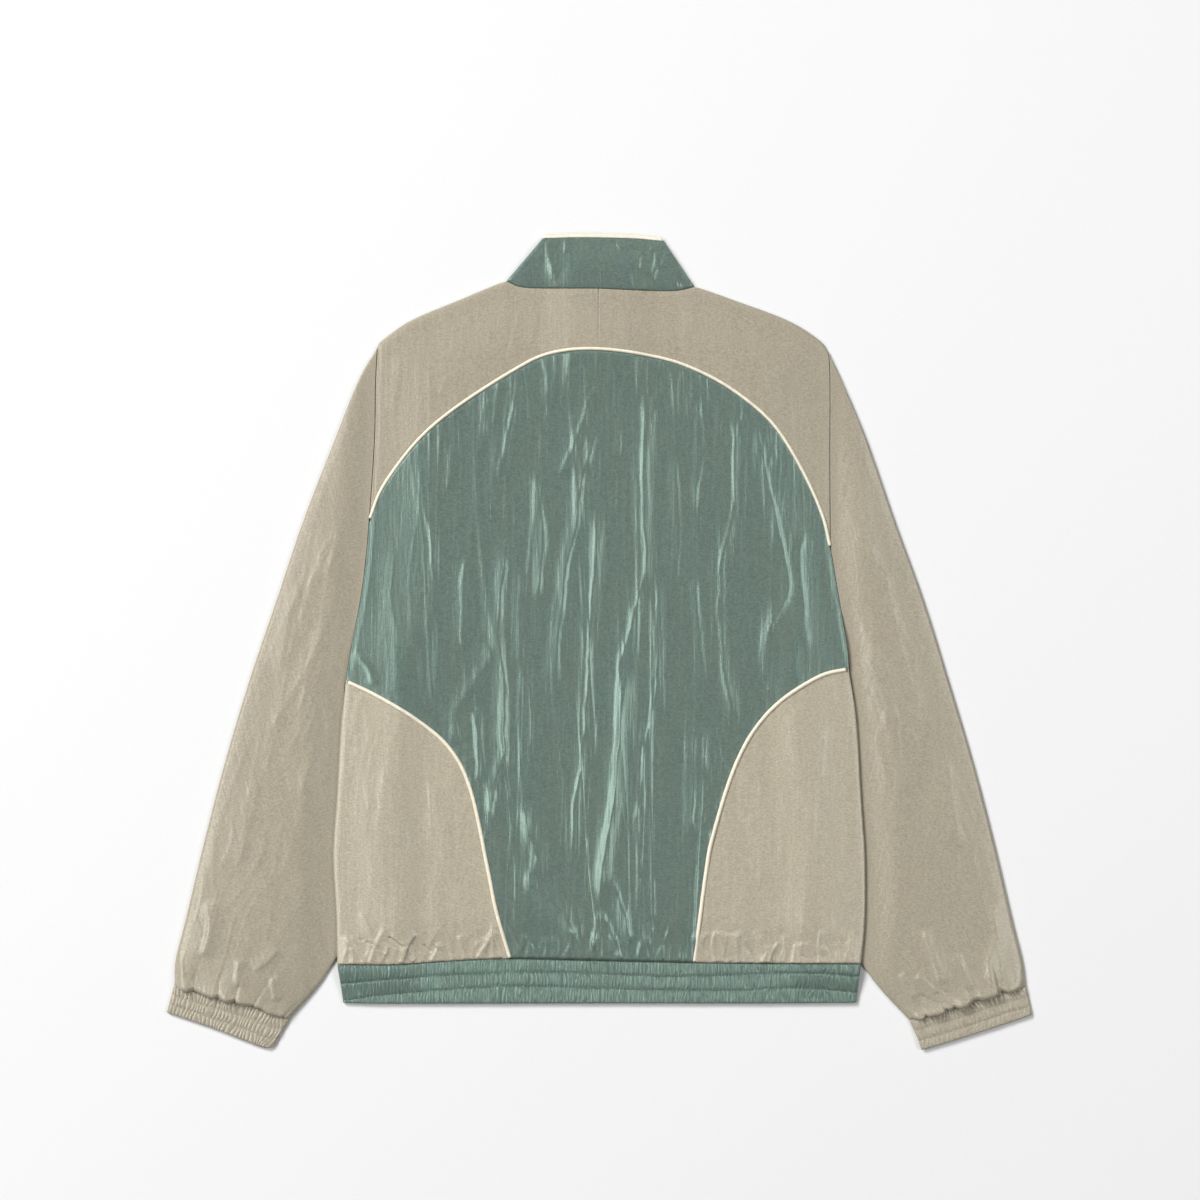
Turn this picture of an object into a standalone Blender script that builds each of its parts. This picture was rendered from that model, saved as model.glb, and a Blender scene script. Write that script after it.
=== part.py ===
"""Track jacket, laid flat on its front with the back up.

Metres, +Z up, +Y towards the collar, +X to the right of the back view.
The origin is at the middle of the footprint, on the surface it lies on.
Every cloth piece is a thin wall between an outer and an inner grid of points.
The lower layer (fronts, under side of sleeves, hem and collar) follows low();
the upper layer (back, yokes, tops of the bands) follows high().
"left" is the side at -X, which is the wearer's left seen from behind.
"""
import math
import random
from collections import namedtuple

import bmesh
import bpy
import numpy as np

# Driving sizes
CLOTH = 0.0015            # wall of one layer of cloth
GAP = 0.0003              # clearance at a seam and between layers
BODY_LOFT = 0.0045        # air under the back panel
EDGE_AIR = 0.0006         # air just inside its edges
EDGE_REACH = 0.006        # and how far in that is reached
SLEEVE_LOFT = 0.0055      # air inside a sleeve
LOFT_REACH = 0.060        # from an edge to the full loft
HEM_REACH = 0.040         # the same above the elastic hem
FOLD_TIP = 0.0009         # how far the cloth rounds back from a folded edge
SLEEVE_CLEAR = 0.020      # from under the body to where a sleeve's top is free
PUFF_START = 0.06         # the sleeve's loft fades over these shares of its length
PUFF_END = 0.035
PUFF_EDGE = 0.08          # and its creases over this share of its width
SLEEVE_LIFT = 0.0038      # body side raised over the sleeve under it
LIFT_FLAT = 0.052         # how far in from the side edge it stays raised
LIFT_RAMP = 0.034         # and the width of its slope to the floor
LIFT_LOW = -0.3400        # y where it starts, below the hem seam
LIFT_LOW_RAMP = 0.0300
ZIP_LIFT = 0.0036         # fronts raised over the slider and its tab,
ZIP_LIFT_HALF = 0.060     # this far to each side,
ZIP_LIFT_SLOPE = 0.040    # sloping over this width,
ZIP_LIFT_LOW = 0.215      # from this y
ZIP_LIFT_RAMP = 0.060
ZIP_LIFT_TOP = 0.385      # to this y
ZIP_LIFT_FADE = 0.035
ZIP_TOP = 0.318           # top end of the zip, in y
FRONT_EDGE = 0.0100       # fronts stop this far from the centre line
TEETH_HALF = 0.0026
TAPE = 0.0011             # thickness of a zip tape
TAPE_RISE = 0.0002
PIPING_RADIUS = 0.0016
ARCH_TRIM = 0.0090        # the arch piping stops short of the slanting armhole
SIDE_TRIMS = 0.0040, 0.0012    # the side piping at its upper and lower end
COLLAR_TRIM = 0.0032      # cream edge along the top of the collar
COLLAR_BEAD = 0.0005      # and how far it stands proud
SLIDER_LENGTH = 0.0110    # zip slider: core between the tapes, plate on their outer side
SLIDER_HALF = 0.0023
SLIDER_HEIGHT = 0.0015
PLATE = 0.0008
PLATE_HALF = 0.0042
LUG_HALF = 0.0016         # two lugs under the plate carry a pin for the tab's eye
LUG_WALL = 0.0006
LUG_LENGTH = 0.0012
PIN_RADIUS = 0.00045
PIN_HEIGHT = 0.0012
EYE_RADIUS = 0.0011
EYE_HOLE = 0.0008
EYE_CUT = 0.0080          # the cutter of the eye's hole is longer than the eye
HINGE_SHARE = 0.55        # place of the hinge along the slider
TAB_LENGTH = 0.0220
TAB_HALF = 0.0030
TAB_THICKNESS = 0.0010
TAB_SHOULDER = 0.0022     # where the tab's narrow neck widens
EDGE_DROP = 0.0006        # rounding of an outer edge
PUCKER_PITCH = 0.017      # tucks above the elastic hem
PUCKER_SWAY = 1.3         # how far their spacing sways, in radians,
PUCKER_SWAY_RATE = 31     # in radians a metre
PUCKER_HEIGHT = 0.0016
PUCKER_REACH = 0.024

# Stations along each stretch of an outline
ARCH_STEPS = 40
NECK_STEPS = 7
ZIP_ROWS = 26
YOKE_ROWS = 6
LOW_ARMHOLE_ROWS = 5
SIDE_ROWS = 13
SIDE_COLUMNS = 9
FRONT_SHARES = (0.0, 0.11, 0.235, 0.30, 0.37, 0.65, 1.0)     # side to zip
NECKLINE_ROWS = 6
SLEEVE_ROWS = 17
SLEEVE_TOP = YOKE_ROWS + LOW_ARMHOLE_ROWS
SLEEVE_UNDER = 5
HEM_GATHERS = 84
CUFF_GATHERS = 22
CENTRE_BACK = -0.0010     # the centre back seam, in x
LIFT_START = 0.075        # the body's side starts to rise this far above the underarm
LIFT_LENGTH = 0.055

# Outline tables: each row is one place, x then y
Spot = namedtuple("Spot", "x y")
SIDES = ("left", "right")
SIGN = {"left": -1.0, "right": 1.0}


def spots(*pairs):
    return np.array([Spot(*pair) for pair in pairs], dtype=float)


SHOULDER = {
    "left": spots((-0.2110, 0.2805), (-0.2066, 0.2869), (-0.1791, 0.3059), (-0.1344, 0.3249),
                  (-0.1002, 0.3392), (-0.0884, 0.3432)),
    "right": spots((0.2180, 0.2751), (0.2095, 0.2869), (0.1791, 0.3059), (0.1287, 0.3249),
                   (0.1021, 0.3344), (0.0904, 0.3378)),
}
BACK_NECK = {
    "left": spots((-0.0884, 0.3432), (-0.0729, 0.3372), (-0.0400, 0.3360), (-0.0010, 0.3358)),
    "right": spots((0.0904, 0.3378), (0.0730, 0.3340), (0.0385, 0.3341), (-0.0010, 0.3358)),
}
FRONT_NECK = {
    "left": spots((-0.0884, 0.3432), (-0.0700, 0.3050), (-0.0400, 0.2740), (-0.0100, 0.2640)),
    "right": spots((0.0904, 0.3378), (0.0710, 0.3020), (0.0400, 0.2730), (0.0100, 0.2640)),
}
COLLAR_TOP = {
    "left": spots((-0.0520, 0.3868), (-0.0260, 0.3880), (-0.0010, 0.3880)),
    "right": spots((0.0596, 0.3842), (0.0330, 0.3870), (-0.0010, 0.3880)),
}
COLLAR_FRONT_TOP = {
    "left": spots((-0.0520, 0.3868), (-0.0450, 0.3600), (-0.0290, 0.3330), (-0.0100, 0.3180)),
    "right": spots((0.0596, 0.3842), (0.0500, 0.3580), (0.0310, 0.3320), (0.0100, 0.3180)),
}
HIGH_ARMHOLE = {
    "left": spots((-0.2110, 0.2805), (-0.2128, 0.2461), (-0.2138, 0.1919), (-0.2188, 0.1165)),
    "right": spots((0.2180, 0.2751), (0.2192, 0.2461), (0.2190, 0.1700), (0.2195, 0.0900)),
}
LOW_ARMHOLE = {
    "left": spots((-0.2188, 0.1165), (-0.2218, 0.0808), (-0.2266, 0.0437), (-0.2355, -0.0048),
                  (-0.2412, -0.0370)),
    "right": spots((0.2195, 0.0900), (0.2256, 0.0532), (0.2350, -0.0029), (0.2370, -0.0256)),
}
SIDE_SEAM = {
    "left": spots((-0.2412, -0.0370), (-0.2110, -0.0513), (-0.1746, -0.0731), (-0.1420, -0.1014),
                  (-0.1221, -0.1414), (-0.1055, -0.2183), (-0.0983, -0.2546), (-0.0850, -0.3012)),
    "right": spots((0.2370, -0.0256), (0.2095, -0.0323), (0.1731, -0.0550), (0.1458, -0.0850),
                   (0.1259, -0.1250), (0.1077, -0.1838), (0.1010, -0.2200), (0.0899, -0.3050)),
}
BODY_SIDE = {
    "left": spots((-0.2412, -0.0370), (-0.2456, -0.0836), (-0.2494, -0.1482), (-0.2528, -0.2033),
                  (-0.2500, -0.2584), (-0.2492, -0.3063)),
    "right": spots((0.2370, -0.0256), (0.2441, -0.0741), (0.2486, -0.1482), (0.2522, -0.2033),
                   (0.2522, -0.2622), (0.2486, -0.3056)),
}
ARCH = spots((-0.2188, 0.1165), (-0.2057, 0.1482), (-0.1746, 0.1896), (-0.1383, 0.2214),
             (-0.0838, 0.2569), (-0.0474, 0.2742), (-0.0010, 0.2783), (0.0550, 0.2706),
             (0.0914, 0.2587), (0.1277, 0.2387), (0.1641, 0.2079), (0.1913, 0.1661),
             (0.2113, 0.1225), (0.2195, 0.0900))
HEM_SEAM = spots((-0.2492, -0.3063), (-0.1933, -0.3065), (-0.1382, -0.3031), (-0.0850, -0.3012),
                 (0.0005, -0.3031), (0.0899, -0.3050), (0.1553, -0.3056), (0.2486, -0.3056))
HEM_EDGE = spots((-0.2438, -0.3432), (-0.1933, -0.3439), (0.0005, -0.3436), (0.1553, -0.3436),
                 (0.2445, -0.3430))
SLEEVE_OUTER = {
    "left": spots((-0.2110, 0.2805), (-0.2294, 0.2489), (-0.2522, 0.1919), (-0.2817, 0.1159),
                  (-0.3073, 0.0399), (-0.3330, -0.0361), (-0.3558, -0.1121), (-0.3757, -0.1881),
                  (-0.3938, -0.2641), (-0.4033, -0.3021), (-0.4045, -0.3254)),
    "right": spots((0.2180, 0.2751), (0.2304, 0.2489), (0.2541, 0.1919), (0.2807, 0.1159),
                   (0.3083, 0.0399), (0.3320, -0.0361), (0.3548, -0.1121), (0.3748, -0.1881),
                   (0.3928, -0.2641), (0.4023, -0.3021), (0.4057, -0.3274)),
}
SLEEVE_INNER = {
    "left": spots((-0.2412, -0.0370), (-0.2445, -0.0700), (-0.2290, -0.1120), (-0.2110, -0.1600),
                  (-0.2060, -0.2100), (-0.2170, -0.2600), (-0.2506, -0.3021), (-0.2674, -0.3274),
                  (-0.2946, -0.3587)),
    "right": spots((0.2370, -0.0256), (0.2425, -0.0620), (0.2290, -0.1080), (0.2110, -0.1600),
                   (0.2070, -0.2100), (0.2180, -0.2600), (0.2484, -0.3049), (0.2684, -0.3315),
                   (0.2945, -0.3594)),
}
CUFF_SEAM = {
    "left": spots((-0.4045, -0.3254), (-0.3729, -0.3354), (-0.3339, -0.3449), (-0.2946, -0.3587)),
    "right": spots((0.4057, -0.3274), (0.3748, -0.3341), (0.3406, -0.3461), (0.2945, -0.3594)),
}
CUFF_EDGE = {
    "left": spots((-0.4117, -0.3521), (-0.3672, -0.3674), (-0.3219, -0.3848), (-0.3102, -0.3856)),
    "right": spots((0.4117, -0.3547), (0.3615, -0.3715), (0.3111, -0.3870), (0.3071, -0.3864)),
}

# Creases: both ends, how far the middle bows to the side, height and half width
Crease = namedtuple("Crease", "x_top y_top x_low y_low bow height width")
BACK_CREASES = [Crease(*row) for row in (
    (0.0432, 0.2461, 0.0442, 0.0779, 0.0000, 0.0048, 0.0090),
    (0.0442, 0.0874, -0.0024, -0.2641, -0.0060, 0.0058, 0.0100),
    (0.0166, -0.1500, 0.0166, -0.2888, 0.0020, 0.0038, 0.0080),
    (-0.0784, 0.2556, -0.0983, 0.1501, 0.0030, 0.0036, 0.0080),
    (-0.0603, 0.1624, -0.0603, 0.0351, 0.0066, 0.0046, 0.0080),
    (-0.0043, 0.2461, -0.0404, 0.1549, 0.0020, 0.0038, 0.0080),
    (0.0014, 0.2185, -0.0385, -0.0646, -0.0110, 0.0050, 0.0090),
    (-0.1696, 0.1767, -0.1563, -0.0741, 0.0050, 0.0040, 0.0085),
    (-0.1078, 0.2366, -0.1059, 0.1919, 0.0000, 0.0030, 0.0080),
    (0.1458, 0.2166, 0.1800, 0.0475, -0.0030, 0.0050, 0.0090),
    (0.1800, 0.0475, 0.1582, -0.0466, 0.0020, 0.0042, 0.0090),
    (0.1259, 0.2280, 0.1259, -0.1017, -0.0120, 0.0050, 0.0085),
    (0.0698, 0.2556, 0.0698, 0.2185, 0.0000, 0.0030, 0.0080),
    (-0.0888, 0.1026, -0.0888, -0.1197, -0.0040, 0.0046, 0.0085),
    (-0.0043, 0.1349, -0.0128, -0.1482, 0.0000, 0.0050, 0.0085),
    (-0.1278, 0.0808, -0.1306, -0.0105, 0.0000, 0.0036, 0.0080),
    (-0.0727, 0.0713, -0.0746, -0.0285, 0.0000, 0.0030, 0.0070),
    (-0.1933, 0.0950, -0.1914, -0.0523, 0.0000, 0.0036, 0.0080),
    (0.0546, 0.0808, 0.0328, -0.1767, 0.0080, 0.0042, 0.0080),
    (0.1971, 0.1074, 0.1971, -0.0105, -0.0040, 0.0034, 0.0075),
    (0.0898, 0.0627, 0.1021, -0.0466, 0.0000, 0.0032, 0.0075),
    (0.0898, -0.0836, 0.0960, -0.1891, 0.0000, 0.0032, 0.0070),
    (-0.0689, -0.1729, -0.0328, -0.2689, 0.0000, 0.0036, 0.0075),
    (-0.0147, -0.1311, -0.0271, -0.2309, 0.0000, 0.0034, 0.0070),
    (-0.1202, -0.0560, -0.1150, -0.1340, 0.0000, 0.0034, 0.0070),
    (0.1401, -0.1634, 0.1534, -0.2328, 0.0000, 0.0030, 0.0080),
    (0.1696, -0.2641, 0.1648, -0.2983, 0.0000, 0.0032, 0.0080),
    (0.1971, -0.2500, 0.1933, -0.2983, 0.0000, 0.0030, 0.0080),
    (-0.1980, -0.2560, -0.1850, -0.2950, 0.0000, 0.0032, 0.0080),
    (-0.2270, -0.2560, -0.2100, -0.2990, 0.0000, 0.0030, 0.0080),
    (-0.1500, -0.2300, -0.1450, -0.2900, 0.0000, 0.0028, 0.0080),
)]
SLEEVE_CREASES = {
    "left": [Crease(*row) for row in (
        (-0.3730, -0.2460, -0.3760, -0.3010, -0.0020, 0.0060, 0.0100),
        (-0.4010, -0.2930, -0.3940, -0.3190, 0.0000, 0.0030, 0.0070),
        (-0.3440, -0.3010, -0.3430, -0.3280, 0.0000, 0.0050, 0.0085),
        (-0.3030, -0.2900, -0.3300, -0.3120, 0.0020, 0.0045, 0.0080),
        (-0.3120, -0.3200, -0.3080, -0.3420, 0.0000, 0.0045, 0.0080),
        (-0.2850, 0.0600, -0.3050, -0.0300, 0.0040, 0.0030, 0.0120),
        (-0.2650, -0.0500, -0.2850, -0.1500, -0.0030, 0.0032, 0.0120),
        (-0.3250, -0.1300, -0.3420, -0.2150, 0.0030, 0.0032, 0.0120),
    )],
    "right": [Crease(*row) for row in (
        (0.3080, -0.2720, 0.3240, -0.3280, 0.0020, 0.0060, 0.0090),
        (0.3420, -0.2950, 0.3560, -0.3300, 0.0000, 0.0050, 0.0085),
        (0.3720, -0.2460, 0.3720, -0.3300, 0.0030, 0.0060, 0.0100),
        (0.3020, -0.3150, 0.3220, -0.3340, 0.0000, 0.0045, 0.0080),
        (0.2850, -0.3150, 0.3000, -0.3400, 0.0000, 0.0040, 0.0080),
        (0.2700, 0.0700, 0.2920, -0.0250, 0.0040, 0.0030, 0.0120),
        (0.2700, -0.0600, 0.2900, -0.1500, 0.0030, 0.0032, 0.0120),
        (0.3300, -0.1100, 0.3450, -0.2000, -0.0030, 0.0032, 0.0120),
    )],
}
HEM_BANDS = (0.0, 0.17, 0.34, 0.50, 0.66, 0.83, 1.0)     # seam, swell, stitching, ...
BAND_SWELL = (0.0, 0.0013, 0.0002, 0.0013, 0.0002, 0.0012, 0.0)
BAND_GATHER = (0.0, 0.0010, 0.0005, 0.0010, 0.0005, 0.0010, 0.0)

COLOURS = {
    "green": (0.165, 0.225, 0.190, 1.0),
    "beige": (0.430, 0.385, 0.300, 1.0),
    "cream": (0.830, 0.760, 0.600, 1.0),
    "metal": (0.620, 0.610, 0.590, 1.0),
}


# ---------------------------------------------------------------- curves in plan
def smooth_path(points, steps):
    """A smooth curve through the points, cut into equal lengths."""
    knots = np.vstack([2 * points[0] - points[1], points, 2 * points[-1] - points[-2]])
    fine = []
    for a, b, c, d in zip(knots, knots[1:], knots[2:], knots[3:]):
        for t in np.linspace(0, 1, 12, endpoint=False):
            fine.append(0.5 * (2 * b + (c - a) * t + (2 * a - 5 * b + 4 * c - d) * t ** 2
                               + (3 * b - a - 3 * c + d) * t ** 3))
    fine.append(points[-1])
    return resample(np.array(fine), steps)


def resample(path, steps):
    """The same path with points at equal lengths, or at the given shares of its length."""
    shares = np.linspace(0, 1, steps + 1) if np.isscalar(steps) else np.array(steps)
    lengths = np.concatenate([[0], np.cumsum(np.linalg.norm(np.diff(path, axis=0), axis=1))])
    wanted = shares * lengths[-1]
    return np.column_stack([np.interp(wanted, lengths, path[:, k]) for k in range(2)])


def shifted(path, distance):
    """The path moved sideways, to its left as it runs, in plan."""
    along = np.gradient(path, axis=0)
    along /= np.linalg.norm(along, axis=1)[:, None]
    return path + distance * np.column_stack([-along[:, 1], along[:, 0]])


def trimmed(path, start, end):
    """The path with its first and last points drawn in along their segments."""
    path = path.copy()
    for tip, inner, length in ((0, 1, start), (-1, -2, end)):
        step = path[inner] - path[tip]
        path[tip] = path[tip] + step * (length / np.linalg.norm(step))
    return path


def joined(*paths):
    return np.vstack([paths[0]] + [path[1:] for path in paths[1:]])


def patch(top, low, left, right, shares=None):
    """A grid of plan points filled in between four edges that share their corners."""
    rows, columns = len(left), len(top)
    v = np.linspace(0, 1, rows)[:, None, None]
    u = (np.linspace(0, 1, columns) if shares is None else np.array(shares))[None, :, None]
    edges = (1 - v) * top[None] + v * low[None] + (1 - u) * left[:, None] + u * right[:, None]
    corners = ((1 - u) * (1 - v) * top[0] + u * (1 - v) * top[-1]
               + (1 - u) * v * low[0] + u * v * low[-1])
    return edges - corners


# ---------------------------------------------------------------- heights
def ease(value):
    value = np.clip(value, 0.0, 1.0)
    return value * value * (3 - 2 * value)


def distance_to(path, x, y):
    """Distance in plan from each point to the nearest place on a path."""
    best = np.full(np.shape(x), 9.0)
    for (ax, ay), (bx, by) in zip(path, path[1:]):
        along = ((x - ax) * (bx - ax) + (y - ay) * (by - ay)) / ((bx - ax) ** 2 + (by - ay) ** 2)
        along = np.clip(along, 0, 1)
        best = np.minimum(best, np.hypot(x - ax - along * (bx - ax), y - ay - along * (by - ay)))
    return best


def body_edge(side, y):
    """Where the body ends at a height y, as x."""
    path = BODY_OUTLINE[side]
    return np.interp(-y, -path[:, 1], path[:, 0])


def inside_edge(side, x, y):
    """How far a point lies in from the body's side edge; negative outside it."""
    return (body_edge(side, y) - x) * SIGN[side]


def low(x, y):
    """Underside of the lower layer: on the floor, but raised over sleeves and slider."""
    height = np.zeros(np.shape(x))
    for side in SIDES:
        underarm = LOW_ARMHOLE[side][-1][1]
        along = ease((underarm + LIFT_START - y) / LIFT_LENGTH) * ease((y - LIFT_LOW) / LIFT_LOW_RAMP)
        across = 1 - ease((inside_edge(side, x, y) - LIFT_FLAT) / LIFT_RAMP)
        height = np.maximum(height, SLEEVE_LIFT * along * across)
    near_zip = ease((ZIP_LIFT_HALF - np.abs(x)) / ZIP_LIFT_SLOPE)
    near_zip = near_zip * ease((y - ZIP_LIFT_LOW) / ZIP_LIFT_RAMP)
    return height + ZIP_LIFT * near_zip * ease((ZIP_LIFT_TOP - y) / ZIP_LIFT_FADE)


def creases(x, y, table):
    height = np.zeros(np.shape(x))
    for row in table:
        run = np.array([row.x_low - row.x_top, row.y_low - row.y_top])
        length = np.linalg.norm(run)
        run = run / length
        along = ((x - row.x_top) * run[0] + (y - row.y_top) * run[1]) / length
        across = (x - row.x_top) * -run[1] + (y - row.y_top) * run[0]
        inside = np.clip(along, 0, 1)
        across = across - row.bow * 4 * inside * (1 - inside)
        fade = ease((along + 0.12) / 0.3) * ease((1.12 - along) / 0.3)
        height = height + row.height * fade * np.exp(-(across / row.width) ** 2)
    return height


def above_hem(x, y):
    return y - np.interp(x, HEM_LINE[:, 0], HEM_LINE[:, 1])


def high(x, y):
    """Underside of the upper layer of the body."""
    from_edge = np.min([distance_to(BODY_OUTLINE[side], x, y) for side in SIDES]
                       + [distance_to(BACK_NECK[side], x, y) for side in SIDES], axis=0)
    over_hem = above_hem(x, y)
    open_air = ease(from_edge / LOFT_REACH) * ease(over_hem / HEM_REACH)
    tuck = np.sin(2 * math.pi * x / PUCKER_PITCH + PUCKER_SWAY * np.sin(PUCKER_SWAY_RATE * x))
    tuck = PUCKER_HEIGHT * (0.5 + 0.5 * tuck) * np.exp(-over_hem / PUCKER_REACH)
    tuck = tuck * ease(over_hem / 0.006) * ease(from_edge / 0.015)
    folds = creases(x, y, BACK_CREASES) * ease(from_edge / 0.018) * ease(over_hem / 0.006)
    near_edge = EDGE_AIR * ease(from_edge / EDGE_REACH)
    return low(x, y) + CLOTH + GAP + near_edge + BODY_LOFT * open_air + folds + tuck


def sleeve_high(side, x, y, along, across):
    """Underside of a sleeve's upper wall; flat where the body lies on it."""
    clear = ease((-inside_edge(side, x, y) - 0.001) / SLEEVE_CLEAR)
    puff = np.sin(math.pi * np.clip(across, 0, 1)) ** 0.6 * ease(along / PUFF_START)
    puff = puff * ease((1 - along) / PUFF_END)
    folds = creases(x, y, SLEEVE_CREASES[side]) * ease((1 - along) / 0.02)
    edge = ease(np.minimum(across, 1 - across) / PUFF_EDGE)
    return CLOTH + GAP + clear * (SLEEVE_LOFT * puff + folds * edge)


# ---------------------------------------------------------------- meshes
def add_object(name, mesh, colour):
    obj = bpy.data.objects.new(name, mesh)
    PARTS.objects.link(obj)
    mesh.materials.append(MATERIALS[colour])
    return obj


def wall(name, colour, outer, inner, closed=False):
    """A wall between an outer and an inner grid, shut along its rims."""
    bm = bmesh.new()
    grids = [[[bm.verts.new(point) for point in row] for row in grid] for grid in (outer, inner)]
    columns = len(outer[0])
    around = columns if closed else columns - 1
    for grid in grids:
        for upper, lower in zip(grid, grid[1:]):
            for j in range(around):
                k = (j + 1) % columns
                bm.faces.new((upper[j], upper[k], lower[k], lower[j]))
    for end in (0, -1):
        for j in range(around):
            k = (j + 1) % columns
            bm.faces.new((grids[0][end][j], grids[0][end][k], grids[1][end][k], grids[1][end][j]))
    if not closed:
        for end in (0, -1):
            rim = [row[end] for row in grids[0]] + [row[end] for row in reversed(grids[1])]
            if len(outer) != len(inner):
                bm.faces.new(rim)
                continue
            for a, b in zip(range(len(outer)), range(1, len(outer))):
                bm.faces.new((grids[0][a][end], grids[0][b][end], grids[1][b][end], grids[1][a][end]))
    bmesh.ops.recalc_face_normals(bm, faces=bm.faces)
    mesh = bpy.data.meshes.new(name)
    bm.to_mesh(mesh)
    bm.free()
    mesh.shade_smooth()
    mesh.set_sharp_from_angle(angle=math.radians(50))
    return add_object(name, mesh, colour)


def with_height(plan, height):
    return np.dstack([plan, height])


def panel(name, colour, plan, underside, edges=()):
    """A single layer of cloth over a plan grid; the named grid edges are rounded."""
    height = underside(plan[..., 0], plan[..., 1])
    outer = height + CLOTH
    picks = {"top": np.s_[0, :], "low": np.s_[-1, :], "left": np.s_[:, 0], "right": np.s_[:, -1]}
    for edge in edges:
        outer[picks[edge]] -= EDGE_DROP
    return wall(name, colour, with_height(plan, outer), with_height(plan, height))


def front_panel(name, colour, plan, edges=()):
    """A lower layer: its outer side faces the floor."""
    outer = low(plan[..., 0], plan[..., 1])
    inner = outer + CLOTH
    picks = {"top": np.s_[0, :], "left": np.s_[:, 0], "right": np.s_[:, -1]}
    for edge in edges:
        outer[picks[edge]] += EDGE_DROP
    return wall(name, colour, with_height(plan, outer), with_height(plan, inner))


def piping(name, path):
    """A round cord laid in a seam, level with the cloth on both sides of it."""
    curve = bpy.data.curves.new(name, "CURVE")
    curve.dimensions = "3D"
    curve.bevel_depth = PIPING_RADIUS
    curve.bevel_resolution = 1
    curve.use_fill_caps = True
    spline = curve.splines.new("POLY")
    spline.points.add(len(path) - 1)
    height = high(path[:, 0], path[:, 1]) + PIPING_RADIUS
    for point, (x, y), z in zip(spline.points, path, height):
        point.co = (x, y, z, 1.0)
    return add_object(name, curve, "cream")


# ---------------------------------------------------------------- pieces
def build_back():
    """Green centre back, beige yokes and beige sides, with piping in the seams."""
    seam_half = PIPING_RADIUS + GAP
    fine = smooth_path(ARCH, 400)
    middle = ARCH_STEPS // 2
    split = int(np.argmin(np.abs(fine[:, 0] - CENTRE_BACK)))
    arch = joined(resample(fine[:split + 1], middle), resample(fine[split:], middle))
    centre_left = np.vstack([shifted(ARMHOLE_LOW["left"], GAP / 2)[:-1],
                             shifted(SEAMS["left"], seam_half)])
    centre_right = np.vstack([shifted(ARMHOLE_LOW["right"], -GAP / 2)[:-1],
                              shifted(SEAMS["right"], -seam_half)])
    top = shifted(arch, -seam_half)
    hem = resample(hem_between(centre_left[-1][0], centre_right[-1][0]), ARCH_STEPS)
    hem = hem + [0, GAP / 2]
    centre_left[-1], centre_right[-1] = hem[0], hem[-1]
    centre_left[0], centre_right[0] = top[0], top[-1]
    panel("back_centre", "green", patch(top, hem, centre_left, centre_right), high)

    piping("arch_piping", trimmed(arch, ARCH_TRIM, ARCH_TRIM))
    above = shifted(arch, seam_half)
    for side in SIDES:
        half = above[:middle + 1] if side == "left" else above[middle:][::-1]
        build_yoke(side, half)
        build_side(side, seam_half)
        piping(f"side_piping_{side}", trimmed(SEAMS[side], *SIDE_TRIMS))


def start_at_armhole(path, side):
    """The path with its first point moved along its first segment to the armhole."""
    path = path.copy()
    for share in np.linspace(0, 1, 200):
        place = path[0] + share * (path[1] - path[0])
        if inside_edge(side, place[0], place[1]) >= GAP / 2:
            path[0] = place
            return path
    return path


def build_yoke(side, arch_half):
    """Half the yoke: arch, armhole, shoulder, neck and centre back seam."""
    inward = -SIGN[side] * GAP / 2
    arch_half = start_at_armhole(arch_half, side)
    shoulder = smooth_path(SHOULDER[side], len(arch_half) - 1 - NECK_STEPS)
    neck = smooth_path(BACK_NECK[side], NECK_STEPS) - [0, GAP / 2]
    neck[0] = shoulder[-1]
    top = joined(shoulder, neck)
    armhole = ARMHOLE_HIGH[side].copy()
    armhole[:, 0] += inward
    armhole[-1] = arch_half[0]
    top[0] = armhole[0]
    top[-1, 0] = arch_half[-1, 0] = arch_half[-1, 0] - inward
    centre = np.linspace(top[-1], arch_half[-1], YOKE_ROWS + 1)
    panel(f"back_yoke_{side}", "beige", patch(top, arch_half, armhole, centre), high, ["top"])


def build_side(side, seam_half):
    """The panel under the curved piping, out to the side edge of the body."""
    edge = BODY_SIDES[side].copy()
    seam = shifted(SEAMS[side], seam_half * SIGN[side])
    edge[0] = edge[0] + 0.25 * (edge[1] - edge[0])
    seam[0] = seam[0] + 0.25 * (seam[1] - seam[0])
    top = np.linspace(edge[0], seam[0], SIDE_COLUMNS + 1)
    hem = resample(hem_between(edge[-1][0], seam[-1][0]), SIDE_COLUMNS) + [0, GAP / 2]
    edge[-1], seam[-1] = hem[0], hem[-1]
    panel(f"back_side_{side}", "beige", patch(top, hem, edge, seam), high, ["left"])


def hem_between(start, end):
    """The hem seam from one x to another, either way."""
    ends = sorted((start, end))
    inside = HEM_LINE[(HEM_LINE[:, 0] > ends[0] + 1e-4) & (HEM_LINE[:, 0] < ends[1] - 1e-4)]
    tips = [[x, np.interp(x, HEM_LINE[:, 0], HEM_LINE[:, 1])] for x in ends]
    line = np.vstack([tips[0], inside, tips[1]])
    return line if start < end else line[::-1]


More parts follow.
